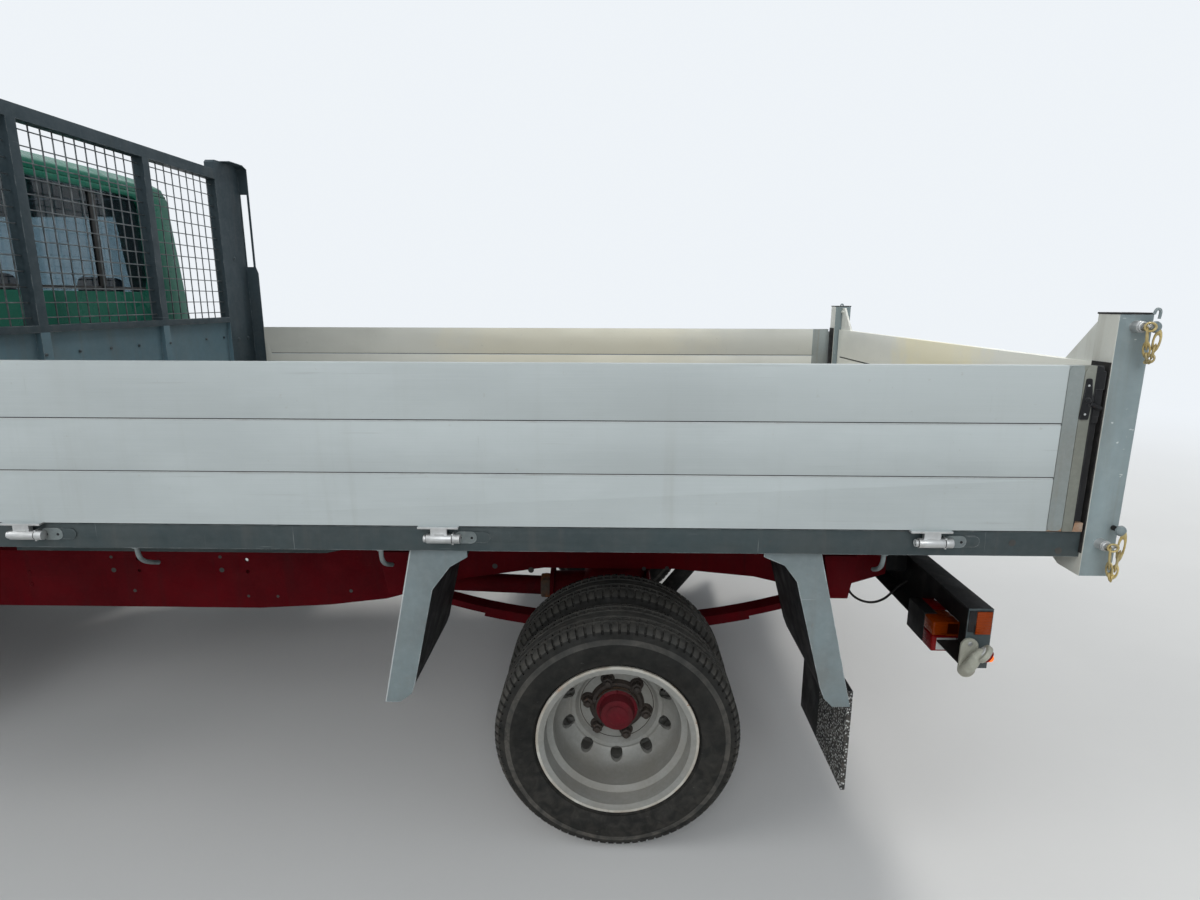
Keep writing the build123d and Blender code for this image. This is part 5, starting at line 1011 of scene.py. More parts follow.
# fasteners on the rear posts
def pinHead(bm, pin, sign):
    # turned head of the tailgate's pin, with its ring and handle
    lathe(bm, [(-0.001, 0.0), (-0.001, 0.0105), (0.002, 0.0105), (0.003, 0.0085), (0.003, 0.005), (0.008, 0.0045),
               (0.009, 0.0)], pin, (0, sign, 0), 20)
    hoop(bm, pin + Vector((0, sign * 0.0035, 0)), (0, 1, 0), 0.0095, 0.0018)
    rod(bm, pin + Vector((0, sign * 0.003, 0)), pin + Vector((-0.020, sign * 0.006, 0.001)), 0.0045, 12, bevel=0.001)


for side, sign in bothSides:
    bm = bmesh.new()
    for z, lift, sag in pinLook["pins"]:
        pinHead(bm, Vector((pinLook["x"], sign * 1.0715, z)), sign)
    dye(bm, 0)
    for z, lift, sag in pinLook["pins"]:
        start = Vector((pinLook["x"] - 0.006, sign * 1.081, z - 0.010))
        chain(bm, start, (rearX - 1.1935, sign * 1.082, z + lift - 0.016), sag, 8, 0.0062, 0.0023)
        hoop(bm, start + Vector((-0.004, 0, 0.010)), (0.3, 1, 0), 0.0095, 0.0026, 1.2, (1, 0, 0))
    dye(bm, 1)
    for z, lift, sag in pinLook["pins"]:
        knob = Vector((pinLook["knobX"], sign * 1.076, z + lift))
        rod(bm, knob - Vector((0, sign * 0.028, 0)), knob, 0.006, 12)
        hoop(bm, knob, (0.25, sign, 0), 0.0095, 0.0022, 1.12, (0, 0, 1), 22)
    dye(bm, 2)
    for z, lift, sag in pinLook["pins"]:
        ball(bm, Vector((pinLook["knobX"], sign * 1.0765, z + lift)), 0.0125, (1, 0.75, 1), 20)
    hook = Vector((rearX - 1.192, sign * 1.078, 1.462))
    bent(bm, [hook, hook + Vector((-0.002, 0, 0.012)), hook + Vector((0.0, 0, 0.021)), hook + Vector((0.010, 0, 0.022)),
              hook + Vector((0.012, 0, 0.010))], 0.0032)
    dye(bm, 3)
    settle(f"post_fasteners_{side}", bm, [zincSteel, brassChain, guardBlack, legGrey], "bed", dyed=True)
    bm = bmesh.new()  # rubber strip on the post's front wall
    block(bm, (rearX - 1.1250, sign * 0.985, 0.900), (rearX - 1.1215, sign * 1.0485, 1.362), 0.001)
    settle(f"post_seal_{side}", bm, sealRubber, "bed")
print("fasteners made")

# hinge details along the side rails
hingeLook = {
    "at": (1.478, 0.442, -0.756), "out": 1.0440, "barrelOut": 1.055, "barrelZ": 0.925, "halfPlate": 0.0155,
    "hooks": (1.218, 0.598, -0.656), "plugs": ((-0.960, 0.922), (-1.074, 0.903))}
latchLook = {
    "cap": ((-1.031, 0.9575), (-1.0655, 0.9575), (-1.0655, 1.3535), (-1.031, 1.3535)), "screws": (1.243, 1.310),
    "plate": ((-1.066, 1.230), (-1.087, 1.230), (-1.090, 1.282), (-1.083, 1.326), (-1.071, 1.326))}


def fixedHinge(bm, x, sign):
    # plate screwed to the rail, end washer, a black ring, and the pin's end with a light ring about it in painted
    # highlight; the two black discs on the plate are painted shade at its holes
    out, barrelOut, z = sign * hingeLook["out"], sign * hingeLook["barrelOut"], hingeLook["barrelZ"]
    half = hingeLook["halfPlate"]
    corners = ((-0.036, -half), (-0.090, -half), (-0.090, half), (-0.036, half))
    pane(bm, [(x + ahead, out, z + up) for ahead, up in corners], 0.0145, 0.0010, normal=(0, sign, 0))
    dye(bm, 4)
    block(bm, (x - 0.036, out, 0.911), (x - 0.031, sign * 1.0610, 0.939), 0.001)
    dye(bm, 0)
    for ahead in (-0.050, -0.078):
        at = Vector((x + ahead, sign * 1.0449, 0.924))
        rod(bm, at, at + Vector((0, sign * 0.0008, 0)), 0.0034, 12)
    hoop(bm, (x - 0.0322, barrelOut, z), (1, 0, 0), 0.0105, 0.0016, steps=24)
    dye(bm, 1)
    hoop(bm, (x + 0.0378, barrelOut, z), (1, 0, 0), 0.0078, 0.0012, steps=22)
    rod(bm, (x + 0.0378, barrelOut, z), (x + 0.0388, barrelOut, z), 0.0035, 10)
    dye(bm, 2)


for side, sign in bothSides:
    fixed, moving = bmesh.new(), bmesh.new()
    for ahead in hingeLook["at"]:
        x = rearX + ahead
        fixedHinge(fixed, x, sign)
        for rivet in (-0.040, 0.043):
            ball(moving, Vector((x + rivet, sign * 1.0525, 0.951)), 0.0052, (1, 1, 0.55), 14)
        block(moving, (x - 0.012, sign * 1.0605, 0.9345), (x + 0.012, sign * 1.0617, 0.9405), 0.0004)
    for ahead, z in hingeLook["plugs"]:  # plugged holes at the rail's rear end
        rod(fixed, (rearX + ahead, sign * 1.0396, z), (rearX + ahead, sign * 1.0404, z), 0.0085, 20)
    dye(fixed, 3)
    settle(f"hinge_screws_{side}", fixed, [zincSteel, guardBlack, paintedEdgeHighlight, seamDark, plateGrey], "bed",
           dyed=True)
    hooks = bmesh.new()
    for ahead in hingeLook["hooks"]:  # rope hooks bent inwards under the rail
        x = rearX + ahead
        bent(hooks, [(x, sign * 1.028, 0.889), (x, sign * 1.028, 0.866), (x, sign * 1.016, 0.846),
                     (x - 0.002, sign * 0.988, 0.829), (x - 0.004, sign * 0.962, 0.819)], 0.0058)
        rod(hooks, (x, sign * 1.028, 0.8875), (x, sign * 1.028, 0.8845), 0.011, 16, bevel=0.0008)
    settle(f"rope_hooks_{side}", hooks, plateGrey, "bed")
    settle(f"hinge_rivets_{side}", moving, zincSteel, "dropside_" + side)
    # end cap's flat plate and the latch on the dropside's end
    bm = bmesh.new()
    pane(bm, [(rearX + ahead, sign * 1.0498, z) for ahead, z in latchLook["cap"]], 0.012, 0.0020, normal=(0, sign, 0))
    dye(bm, 0)
    pane(bm, [(rearX + ahead, sign * 1.0518, z) for ahead, z in latchLook["plate"]], 0.004, 0.0032, normal=(0, sign, 0))
    block(bm, (rearX - 1.1145, sign * 1.0415, 1.236), (rearX - 1.0975, sign * 1.0500, 1.318), 0.002)
    rod(bm, (rearX - 1.085, sign * 1.0560, 1.268), (rearX - 1.1130, sign * 1.0535, 1.256), 0.0050, 14, bevel=0.001)
    rod(bm, (rearX - 1.079, sign * 1.0540, 1.275), (rearX - 1.079, sign * 1.0590, 1.275), 0.0065, 16, bevel=0.001)
    dye(bm, 1)
    for z in latchLook["screws"]:
        rod(bm, (rearX - 1.077, sign * 1.0548, z), (rearX - 1.077, sign * 1.0560, z), 0.0026, 10)
    dye(bm, 2)
    settle(f"side_latch_{side}", bm, [endAlloy, guardBlack, zincSteel], "dropside_" + side, dyed=True)

# bolts of the headboard's panel and posts
headLook = {
    "panelX": rearX + 1.9592, "postX": rearX + 1.9400, "panelRows": (1.312, 1.052),
    "panelAt": (0.336, 0.639, 0.792, 0.0, 0.16),
    "postAt": ((0.893, 1.300), (0.985, 0.985), (0.893, 0.985), (0.985, 1.300), (0.93, 1.70))}
bm = bmesh.new()
for y in headLook["panelAt"]:
    x = headLook["postX" if y == 0.336 else "panelX"]
    for way in (1, -1):
        for z in headLook["panelRows"]:
            bolt(bm, (x, way * y, z), (-1, 0, 0), 0.0048, 0.0028)
for way in (1, -1):
    for y, z in headLook["postAt"]:
        bolt(bm, (headLook["postX"], way * y, z), (-1, 0, 0), 0.0065, 0.004)
settle("headboard_bolts", bm, headGreyShaded, "bed")
bm = bmesh.new()  # painted highlight along the legs' front edges
for sign in (1, -1):
    bent(bm, [(rearX + 0.5255, sign * 1.0188, 0.885), (rearX + 0.6145, sign * 1.0188, 0.4565)], 0.0019, False)
    bent(bm, [(rearX - 0.5045, sign * 1.0190, 0.885), (rearX - 0.6080, sign * 1.0190, 0.4595)], 0.0009, False)
settle("leg_edges", bm, paintedEdgeHighlight, "bed")
print("hinges and bolts made")

# chassis fittings
railHoles = ((1.753, 0.624, 0.0055), (1.750, 0.576, 0.0085), (1.371, 0.628, 0.006), (1.370, 0.580, 0.0085),
             (1.686, 0.500, 0.006), (1.286, 0.484, 0.005), (1.183, 0.484, 0.005), (0.924, 0.507, 0.006),
             (0.419, 0.604, 0.009), (0.295, 0.591, 0.010), (-0.093, 0.600, 0.007), (-0.172, 0.603, 0.007),
             (-0.560, 0.62, 0.007), (2.30, 0.58, 0.007), (2.80, 0.56, 0.007))
bm = bmesh.new()
for sign in (1, -1):
    for ahead, z, radius in railHoles:  # dark discs of painted shade where holes are drilled in the rails' webs
        rod(bm, (rearX + ahead, sign * 0.4290, z), (rearX + ahead, sign * 0.4306, z), radius, 18)
    dye(bm, 0)
    for ahead in (2.05, 2.70, 2.4, 3.1):  # rivets of the cross members
        for dz in (-0.022, 0.022):
            ball(bm, (rearX + ahead, sign * 0.4302, 0.5425 + dz), 0.0085, (1, 0.5, 1), 12)
    dye(bm, 1)
settle("rail_holes", bm, [seamDark, chassisRed], "chassis", dyed=True)

# clamps: place, bolts' low and high end, spring's y, half of the clamp's length and width, plate's z, buffer's height
# dampers: eye on the axle, eye on the frame, radius
springLook = {
    "clamps": ((rearX, 0.278, 0.452, 0.472, 0.050, 0.0375, 0.4375, 0.055),
               (frontX, 0.226, 0.346, 0.400, 0.042, 0.036, 0.3335, 0.045)),
    "dampers": (((rearX - 0.060, 0.340, 0.330), (rearX - 0.300, 0.352, 0.640), 0.028),
                ((frontX + 0.05, 0.472, 0.270), (frontX + 0.13, 0.462, 0.620), 0.024))}
bm = bmesh.new()
for sign in (1, -1):  # spring bolts, plates and buffers
    for x, low, high, y, half, wide, top, tall in springLook["clamps"]:
        for bx in (x - half, x + half):
            legs = [(bx, sign * (y - wide), high), (bx, sign * (y - wide), low + 0.012),
                    (bx, sign * (y - wide + 0.010), low), (bx, sign * y, low - 0.002),
                    (bx, sign * (y + wide - 0.010), low), (bx, sign * (y + wide), low + 0.012),
                    (bx, sign * (y + wide), high)]
            bent(bm, legs, 0.0065)
            for way in (-1, 1):
                at = Vector((bx, sign * (y + way * wide), high - 0.022))
                rod(bm, at, at + Vector((0, 0, 0.012)), 0.011, 6, bevel=0.001)
        block(bm, (x - half - 0.018, sign * (y - wide - 0.012), top),
              (x + half + 0.018, sign * (y + wide + 0.012), top + 0.008), 0.002)
        dye(bm, 0)
        block(bm, (x - 0.026, sign * (y - 0.024), top + 0.008), (x + 0.026, sign * (y + 0.024), top + tall), 0.010, 3)
        dye(bm, 1)
    for lower, upper, radius in springLook["dampers"]:
        a, b = Vector((lower[0], sign * lower[1], lower[2])), Vector((upper[0], sign * upper[1], upper[2]))
        middle = a.lerp(b, 0.55)
        rod(bm, a, middle, radius * 0.86, 20, bevel=0.003)
        dye(bm, 2)
        rod(bm, a.lerp(b, 0.42), b, radius, 20, bevel=0.004)
        dye(bm, 1)
        for end in (a, b):
            rod(bm, end - Vector((0, 0.022, 0)), end + Vector((0, 0.022, 0)), radius * 0.72, 16, bevel=0.002)
        dye(bm, 3)
settle("spring_fittings", bm, [castIron, sealRubber, guardBlack, zincSteel], "chassis", dyed=True)

bm = bmesh.new()  # brake and fuel pipes clipped inside and along the rails, with the cover of the axle's case
pipeRuns = [(0.0045, [(frontX - 0.2, 0.418, 0.55), (frontX - 1.2, 0.418, 0.55), (rearX + 1.2, 0.418, 0.53),
                      (rearX + 0.7, 0.418, 0.56), (rearX + 0.34, 0.418, 0.64), (rearX + 0.1, 0.30, 0.655),
                      (rearX + 0.05, 0.18, 0.60), (rearX - 0.02, 0.10, 0.478)])]
for sign in (1, -1):
    pipeRuns.append((0.0035, [(rearX - 0.048, sign * 0.10, 0.365), (rearX - 0.050, sign * 0.30, 0.366),
                              (rearX - 0.050, sign * 0.58, 0.366), (rearX - 0.045, sign * 0.610, 0.36)]))
pipeRuns.append((0.006, [(frontX - 0.3, -0.418, 0.56), (frontX - 1.2, -0.418, 0.56), (rearX + 1.9, -0.418, 0.55),
                         (rearX + 1.7, -0.432, 0.59), (rearX + 1.68, -0.50, 0.615)]))
for radius, points in pipeRuns:
    bent(bm, points, radius)
dye(bm, 0)
lathe(bm, [(0, 0), (0.004, 0.0), (0.010, 0.050), (0.002, 0.098), (0.0, 0.118), (-0.012, 0.120)],
      (rearX - 0.132, 0, axleZ), (-1, 0, 0), 32)
for count in range(10):
    turn = 2 * pi * count / 10
    bolt(bm, (rearX - 0.130, 0.108 * cos(turn), axleZ + 0.108 * sin(turn)), (-1, 0, 0), 0.006, 0.005, False)
rod(bm, (rearX - 0.140, 0.03, axleZ - 0.03), (rearX - 0.148, 0.03, axleZ - 0.03), 0.011, 6)
dye(bm, 1)
for x, radius in ((rearX + 0.285, 0.052), (frontX - 0.655, 0.052)):  # yokes of the propeller shaft
    z = axleZ + 0.015 + (x - rearX - 0.265) * (0.450 - axleZ - 0.015) / (frontX - 0.64 - rearX - 0.265)
    rod(bm, (x - 0.020, 0, z), (x + 0.020, 0, z), radius, 8, bevel=0.006)
    rod(bm, (x, -0.048, z), (x, 0.048, z), 0.016, 14, bevel=0.002)
    rod(bm, (x, 0, z - 0.048), (x, 0, z + 0.048), 0.016, 14, bevel=0.002)
dye(bm, 2)
settle("axle_fittings", bm, [zincSteel, chassisRed, drumIron], "chassis", dyed=True)

bm = bmesh.new()  # silencer seams, clamps and rubber hangers
pipeLook = {"y": -0.300, "z": 0.400, "seams": (-1.497, -1.30, -1.10, -0.903),
            "clamps": ((-1.53, 0.0255), (-0.87, 0.0275))}
pipeY, pipeZ = pipeLook["y"], pipeLook["z"]
for ahead in pipeLook["seams"]:
    hoop(bm, (frontX + ahead, pipeY, pipeZ), (1, 0, 0), 0.0752, 0.0032, steps=40)
for ahead, radius in pipeLook["clamps"]:
    x = frontX + ahead
    rod(bm, (x - 0.014, pipeY, pipeZ), (x + 0.014, pipeY, pipeZ), radius, 24, bevel=0.002)
    rod(bm, (x, pipeY, pipeZ + 0.025), (x, pipeY, pipeZ + 0.044), 0.0045, 10)
dye(bm, 0)
for x in (frontX - 1.40, frontX - 0.96, rearX + 1.25):
    hoop(bm, (x, -0.312 if x < 0 else -0.374, 0.452), (1, 0, 0), 0.020, 0.006, 1.3, (0, 0, 1))
dye(bm, 1)
lathe(bm, [(0.0, 0.0238), (0.0, 0.0205), (0.055, 0.0205)], (rearX + 0.8995, pipeY, pipeZ), (1, 0, 0), 28)
dye(bm, 2)
settle("exhaust_fittings", bm, [rustyPipe, sealRubber, seamDark], "chassis", dyed=True)

bm = bmesh.new()  # tank straps' bolts, filler neck and cap, sender plate
tankLook = {"filler": rearX + 1.86, "ribs": 12, "straps": (1.430, 1.870), "boltsZ": (0.350, 0.590), "faceY": -0.8085}
fillerX = tankLook["filler"]
rod(bm, (fillerX, -0.700, 0.596), (fillerX, -0.722, 0.634), 0.030, 24, bevel=0.002)
dye(bm, 0)
rod(bm, (fillerX, -0.7225, 0.635), (fillerX, -0.733, 0.654), 0.038, 26, bevel=0.006)
for count in range(tankLook["ribs"]):
    turn = 2 * pi * count / tankLook["ribs"]
    at = Vector((fillerX, -0.7275, 0.6445)) + Vector((cos(turn), sin(turn) * 0.866, sin(turn) * 0.5)) * 0.0378
    rod(bm, at - Vector((0, -0.004, 0.007)), at + Vector((0, -0.004, 0.007)), 0.0035, 8)
dye(bm, 1)
for ahead in tankLook["straps"]:
    for z in tankLook["boltsZ"]:
        bolt(bm, (rearX + ahead, tankLook["faceY"], z), (0, -1, 0), 0.007, 0.006)
dye(bm, 2)
rod(bm, (rearX + 1.55, -0.62, 0.6095), (rearX + 1.55, -0.62, 0.6165), 0.030, 24, bevel=0.0015)
dye(bm, 0)
settle("tank_fittings", bm, [guardBlack, moulding, zincSteel], "chassis", dyed=True)

bm = bmesh.new()  # gland with its screws and the hose union of the ram's barrel
ramLook = {"x": rearX + 0.56, "glandZ": 0.736, "screwRing": 0.060, "unionZ": 0.450}
ramX, unionZ, ring = ramLook["x"], ramLook["unionZ"], ramLook["screwRing"]
lathe(bm, [(0.0, 0.0562), (0.0, 0.066), (0.012, 0.066), (0.014, 0.0562)], (ramX, 0, ramLook["glandZ"]), (0, 0, 1), 40,
      True)
rod(bm, (ramX - 0.060, 0, unionZ), (ramX - 0.088, 0, unionZ), 0.014, 6, bevel=0.001)
rod(bm, (ramX - 0.088, 0, unionZ), (ramX - 0.100, 0, unionZ), 0.010, 16)
for turn in (0.6, 2.2, 3.9, 5.4):
    bolt(bm, (ramX + ring * cos(turn), ring * sin(turn), ramLook["glandZ"] + 0.012), (0, 0, 1), 0.004, 0.003, False)
settle("ram_fittings", bm, zincSteel, "ram_barrel")

# the lamps' cable: leaves the frame's end downwards, hangs in one bow and ends on the lamp
cableLook = {
    "thick": 0.008, "slack": 0.975,
    "route": [(-0.795, 0.410, 0.556), (-0.796, 0.414, 0.538), (-0.803, 0.424, 0.516), (-0.830, 0.440, 0.497),
        (-0.868, 0.456, 0.494), (-0.902, 0.470, 0.514), (-0.924, 0.480, 0.546), (-0.945, 0.485, 0.574),
        (-0.968, 0.485, 0.588)]}
cableRoute = [(rearX + ahead, across, up) for ahead, across, up in cableLook["route"]]
cableCurve = wireCurve("lampCable", cableRoute, cableLook["thick"] / 2, fine=12)
cableCurve.materials.append(sealRubber)
lampCable = bpy.data.objects.new("lamp_cable", cableCurve)
bpy.context.scene.collection.objects.link(lampCable)
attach(lampCable, "chassis")
print("chassis fittings made")

# glass seals, wipers and trim of the cab
screenOut, screenOrigin = Vector((1, 0, 0.8)).normalized(), Vector((2.256, 0, 1.165))
screenLook = {"dividers": (-0.36, 0.36), "slots": 38, "slotStep": 0.04, "slotFrom": -0.74, "wipers": (-0.62, -0.04)}
bm = bmesh.new()
old = set(bm.verts)
pane(bm, [(-0.808, 0.046, -0.015), (0.808, 0.046, -0.015), (0.727, 0.966, -0.015), (-0.727, 0.966, -0.015)], 0.045,
     0.019, 0.024, (0, 0, 1))
lay(bm, old, screenOrigin, (0, 1, 0), screenOut)
pane(bm, upright(0.604, 1, -0.662, 0.662, 1.518, 1.962), 0.070, 0.022, 0.024, (-1, 0, 0))
dye(bm, 0)
for y in screenLook["dividers"]:  # dividers of the sliding rear window
    block(bm, (0.598, y - 0.0175, 1.541), (0.6035, y + 0.0175, 1.939), 0.001)
    block(bm, (0.6095, y - 0.0175, 1.541), (0.613, y + 0.0175, 1.939), 0.001)
block(bm, (0.6095, -0.030, 1.700), (0.624, 0.030, 1.722), 0.003)
block(bm, (0.598, -0.64, 1.541), (0.6035, 0.64, 1.551), 0.001)
dye(bm, 1)
old = set(bm.verts)
block(bm, (-0.79, 0.012, -0.001), (0.79, 0.044, 0.003), 0.001)  # vent strip under the screen
for count in range(screenLook["slots"]):
    y = screenLook["slotFrom"] + count * screenLook["slotStep"]
    block(bm, (y, 0.018, 0.003), (y + 0.028, 0.038, 0.0045), 0.0006)
for pivot in screenLook["wipers"]:
    rod(bm, (pivot, 0.024, 0.002), (pivot, 0.024, 0.026), 0.013, 18, bevel=0.002)
    rod(bm, (pivot, 0.024, 0.020), (pivot + 0.20, 0.070, 0.016), 0.0075, 10, tip=0.006)
    rod(bm, (pivot + 0.19, 0.067, 0.016), (pivot + 0.37, 0.094, 0.006), 0.0045, 8)
    block(bm, (pivot + 0.08, 0.094, -0.012), (pivot + 0.66, 0.099, 0.000), 0.001)
    block(bm, (pivot + 0.13, 0.090, 0.000), (pivot + 0.61, 0.103, 0.006), 0.002)
    ball(bm, (pivot + 0.37, 0.0965, 0.007), 0.009, (1.4, 0.8, 0.8), 12)
lay(bm, old, screenOrigin, (0, 1, 0), screenOut)
dye(bm, 1)
settle("glass_seals", bm, [sealRubber, moulding], "chassis", dyed=True)

doorLook = {
    "window": ((0.826, 1.180), (1.871, 1.180), (1.871, 1.2325), (1.5015, 1.900), (0.826, 1.900)),
    "pad": ((0.80, 0.62), (1.44, 0.62), (1.60, 0.76), (1.88, 0.82), (1.88, 1.13), (0.80, 1.13))}
for side, sign in bothSides:
    bm = bmesh.new()
    old = set(bm.verts)
    pane(bm, [(-sign * x, (z - 1.165) * 1.0094, -0.015) for x, z in doorLook["window"]], 0.016, 0.018, 0.021, (0, 0, 1))
    lay(bm, old, (0, sign * 0.962, 1.165), (-sign, 0, 0), (0, sign, 0.1375))
    block(bm, (0.826, sign * 0.9475, 1.178), (1.865, sign * 0.9600, 1.192), 0.003)
    dye(bm, 0)
    block(bm, (0.786, sign * 0.952, 0.785), (1.910, sign * 0.9685, 0.832), 0.005)  # rub strip
    rod(bm, (0.955, sign * 0.958, 1.060), (0.955, sign * 0.9655, 1.060), 0.014, 20, bevel=0.001)
    dye(bm, 1)
    rod(bm, (0.955, sign * 0.9655, 1.060), (0.955, sign * 0.967, 1.060), 0.0095, 18)
    pane(bm, upright(1.8358, sign, 0.992, 1.111, 1.238, 1.428), 0.014, 0.0016, normal=(-1, 0, 0))
    dye(bm, 2)
    # trim inside the door: pad, arm rest, pocket, winder and pull
    old = set(bm.verts)
    pane(bm, [(-sign * x, z, 0) for x, z in doorLook["pad"]], 0.03, 0.010, normal=(0, 0, -1))
    lay(bm, old, (0, sign * 0.936, 0), (-sign, 0, 0), (0, sign, 0))
    block(bm, (0.92, sign * 0.868, 0.900), (1.50, sign * 0.928, 0.936), 0.012, 3)
    block(bm, (0.86, sign * 0.890, 0.640), (1.40, sign * 0.928, 0.735), 0.012, 3)
    block(bm, (1.22, sign * 0.905, 1.020), (1.34, sign * 0.930, 1.052), 0.006)
    rod(bm, (1.60, sign * 0.930, 0.960), (1.60, sign * 0.900, 0.960), 0.022, 20, bevel=0.003)
    rod(bm, (1.60, sign * 0.903, 0.960), (1.53, sign * 0.898, 0.985), 0.008, 12, tip=0.007)
    rod(bm, (1.53, sign * 0.900, 0.985), (1.53, sign * 0.868, 0.985), 0.011, 16, bevel=0.003)
    dye(bm, 3)
    settle(f"door_trim_{side}", bm, [sealRubber, moulding, mirrorGlass, moulding], "door_" + side,
           dyed=True)

trimLook = {"archAngles": (82, 70, 58, 46, 34.5), "archRadius": 0.410, "jets": (0.30, 0.34), "louvres": 7,
            "louvreStep": 0.022}
bm = bmesh.new()
for sign in (1, -1):
    block(bm, (1.945, sign * 0.955, 0.785), (2.285, sign * 0.9685, 0.832), 0.005)
    block(bm, (0.592, sign * 0.952, 0.785), (0.752, sign * 0.9685, 0.832), 0.005)
    reach = trimLook["archRadius"]
    lip = [(1.886 + reach * cos(radians(a)), sign * 0.966, 0.335 + reach * sin(radians(a)))
           for a in trimLook["archAngles"]]
    bent(bm, lip, 0.010)
    rod(bm, (2.052, sign * 0.960, 0.935), (2.052, sign * 0.9665, 0.935), 0.028, 24, bevel=0.002)
    bent(bm, [(0.596, sign * 0.8525, 1.979), (1.10, sign * 0.8535, 1.979), (1.625, sign * 0.8515, 1.978)], 0.006, False)
    for y in trimLook["jets"]:  # washer jets at the bonnet's foot
        block(bm, (2.31, sign * y - 0.012, 1.152), (2.335, sign * y + 0.012, 1.166), 0.004)
    bent(bm, [(0.612, sign * 0.30, 0.700), (0.560, sign * 0.31, 0.690), (0.545, sign * 0.33, 0.640),
              (0.545, sign * 0.34, 0.600)], 0.006)
dye(bm, 0)
for sign in (1, -1):
    rod(bm, (2.052, sign * 0.966, 0.935), (2.052, sign * 0.974, 0.935), 0.021, 24, tip=0.017, bevel=0.003)
dye(bm, 1)
block(bm, (2.734, -0.424, 0.646), (2.741, 0.424, 0.824), 0.001)
dye(bm, 2)
for sign in (1, -1):  # louvres of the cab's air vents behind the doors
    for count in range(trimLook["louvres"]):
        z = 1.30 + count * trimLook["louvreStep"]
        block(bm, (0.630, sign * 0.9405, z), (0.730, sign * 0.9475 - sign * (z - 1.30) * 0.1375, z + 0.011), 0.002)
dye(bm, 0)
settle("cab_trim", bm, [moulding, lensAmber, seamDark], "chassis", dyed=True)

# headlamps and fog lamps
headlampLook = {"low": 0.6435, "high": 0.8265, "inner": 0.5485, "outer": 0.7965, "bulbY": 0.642, "bulbZ": 0.735}
fogLook = {"y": 0.515, "z": 0.415, "screwsY": (0.462, 0.568), "screwsZ": (0.367, 0.463)}
for side, sign in bothSides:
    bm = bmesh.new()
    look = headlampLook
    bulbY, bulbZ = sign * look["bulbY"], look["bulbZ"]
    block(bm, (2.670, sign * look["inner"], look["low"]), (2.688, sign * look["outer"], look["high"]), 0.002)
    pane(bm, upright(2.688, sign, look["inner"], look["outer"], look["low"], look["high"]), 0.012, 0.078, 0.007,
         (1, 0, 0))
    dye(bm, 0)
    lathe(bm, [(0.0, 0.0), (0.0, 0.030), (0.010, 0.055), (0.030, 0.074), (0.056, 0.082), (0.056, 0.085),
               (0.028, 0.077), (0.006, 0.057), (-0.004, 0.030), (-0.004, 0.0)], (2.695, bulbY, bulbZ), (1, 0, 0), 48)
    pane(bm, upright(2.722, sign, 0.556, 0.728, 0.650, 0.820), 0.010, 0.003, normal=(1, 0, 0))
    dye(bm, 1)
    rod(bm, (2.694, bulbY, bulbZ), (2.728, bulbY, bulbZ), 0.010, 18, bevel=0.002)
    ball(bm, (2.730, bulbY, bulbZ), 0.0098, (1.3, 1, 1), 16)
    dye(bm, 2)
    hoop(bm, (2.752, bulbY, bulbZ), (1, 0, 0), 0.0835, 0.0028, steps=48)
    dye(bm, 3)
    block(bm, (2.692, sign * 0.7365, 0.6515), (2.7565, sign * 0.7885, 0.8185), 0.005, 3)
    dye(bm, 4)
    pane(bm, upright(2.7615, sign, 0.553, 0.792, 0.648, 0.822), 0.012, 0.0045, normal=(1, 0, 0))
    dye(bm, 5)
    settle(f"headlamp_{side}", bm, [guardBlack, lampBowl, lensClear, zincSteel, lensAmber, clearGlass], "chassis",
           ("headlamps",), dyed=True)
    bm = bmesh.new()
    lathe(bm, [(0.0, 0.0), (0.0, 0.020), (0.006, 0.036), (0.013, 0.041), (0.0155, 0.0415), (0.0155, 0.0445),
               (0.0, 0.0445)], (2.7965, sign * fogLook["y"], fogLook["z"]), (1, 0, 0), 36)
    dye(bm, 0)
    lathe(bm, [(0.0, 0.0), (0.0025, 0.020), (0.0, 0.041), (-0.002, 0.041), (-0.002, 0.0)],
          (2.8095, sign * fogLook["y"], fogLook["z"]), (1, 0, 0), 36)
    dye(bm, 1)
    for y in fogLook["screwsY"]:
        for z in fogLook["screwsZ"]:
            rod(bm, (2.796, sign * y, z), (2.799, sign * y, z), 0.005, 10)
    dye(bm, 2)
    settle(f"fog_lamp_{side}", bm, [lampBowl, clearGlass, zincSteel], "chassis", dyed=True)
slatLook = {"slats": 5, "step": 0.0145, "stays": (-0.2, 0.0, 0.2)}
bm = bmesh.new()
for count in range(slatLook["slats"]):
    up = count * slatLook["step"]
    block(bm, (2.790, -0.392, 0.334 + up), (2.806, 0.392, 0.340 + up), 0.0015)
for y in slatLook["stays"]:
    block(bm, (2.790, y - 0.004, 0.329), (2.804, y + 0.004, 0.401), 0.001)
settle("bumper_slats", bm, moulding, "chassis")
print("cab outside made")

# inside the cab
dashOut, dashMiddle = Vector((-0.952, 0, 0.306)), Vector((1.5735, 0, 1.030))
steerLook = {"middle": Vector((1.416, -0.470, 1.190)), "tilt": radians(35)}
bm = bmesh.new()


def onDash(make):
    old = set(bm.verts)
    make()
    lay(bm, old, dashMiddle, (0, -1, 0), dashOut)


def rectangle(u, v, wide, tall, at=0.0):
    return [(u - wide / 2, v - tall / 2, at), (u + wide / 2, v - tall / 2, at), (u + wide / 2, v + tall / 2, at),
            (u - wide / 2, v + tall / 2, at)]


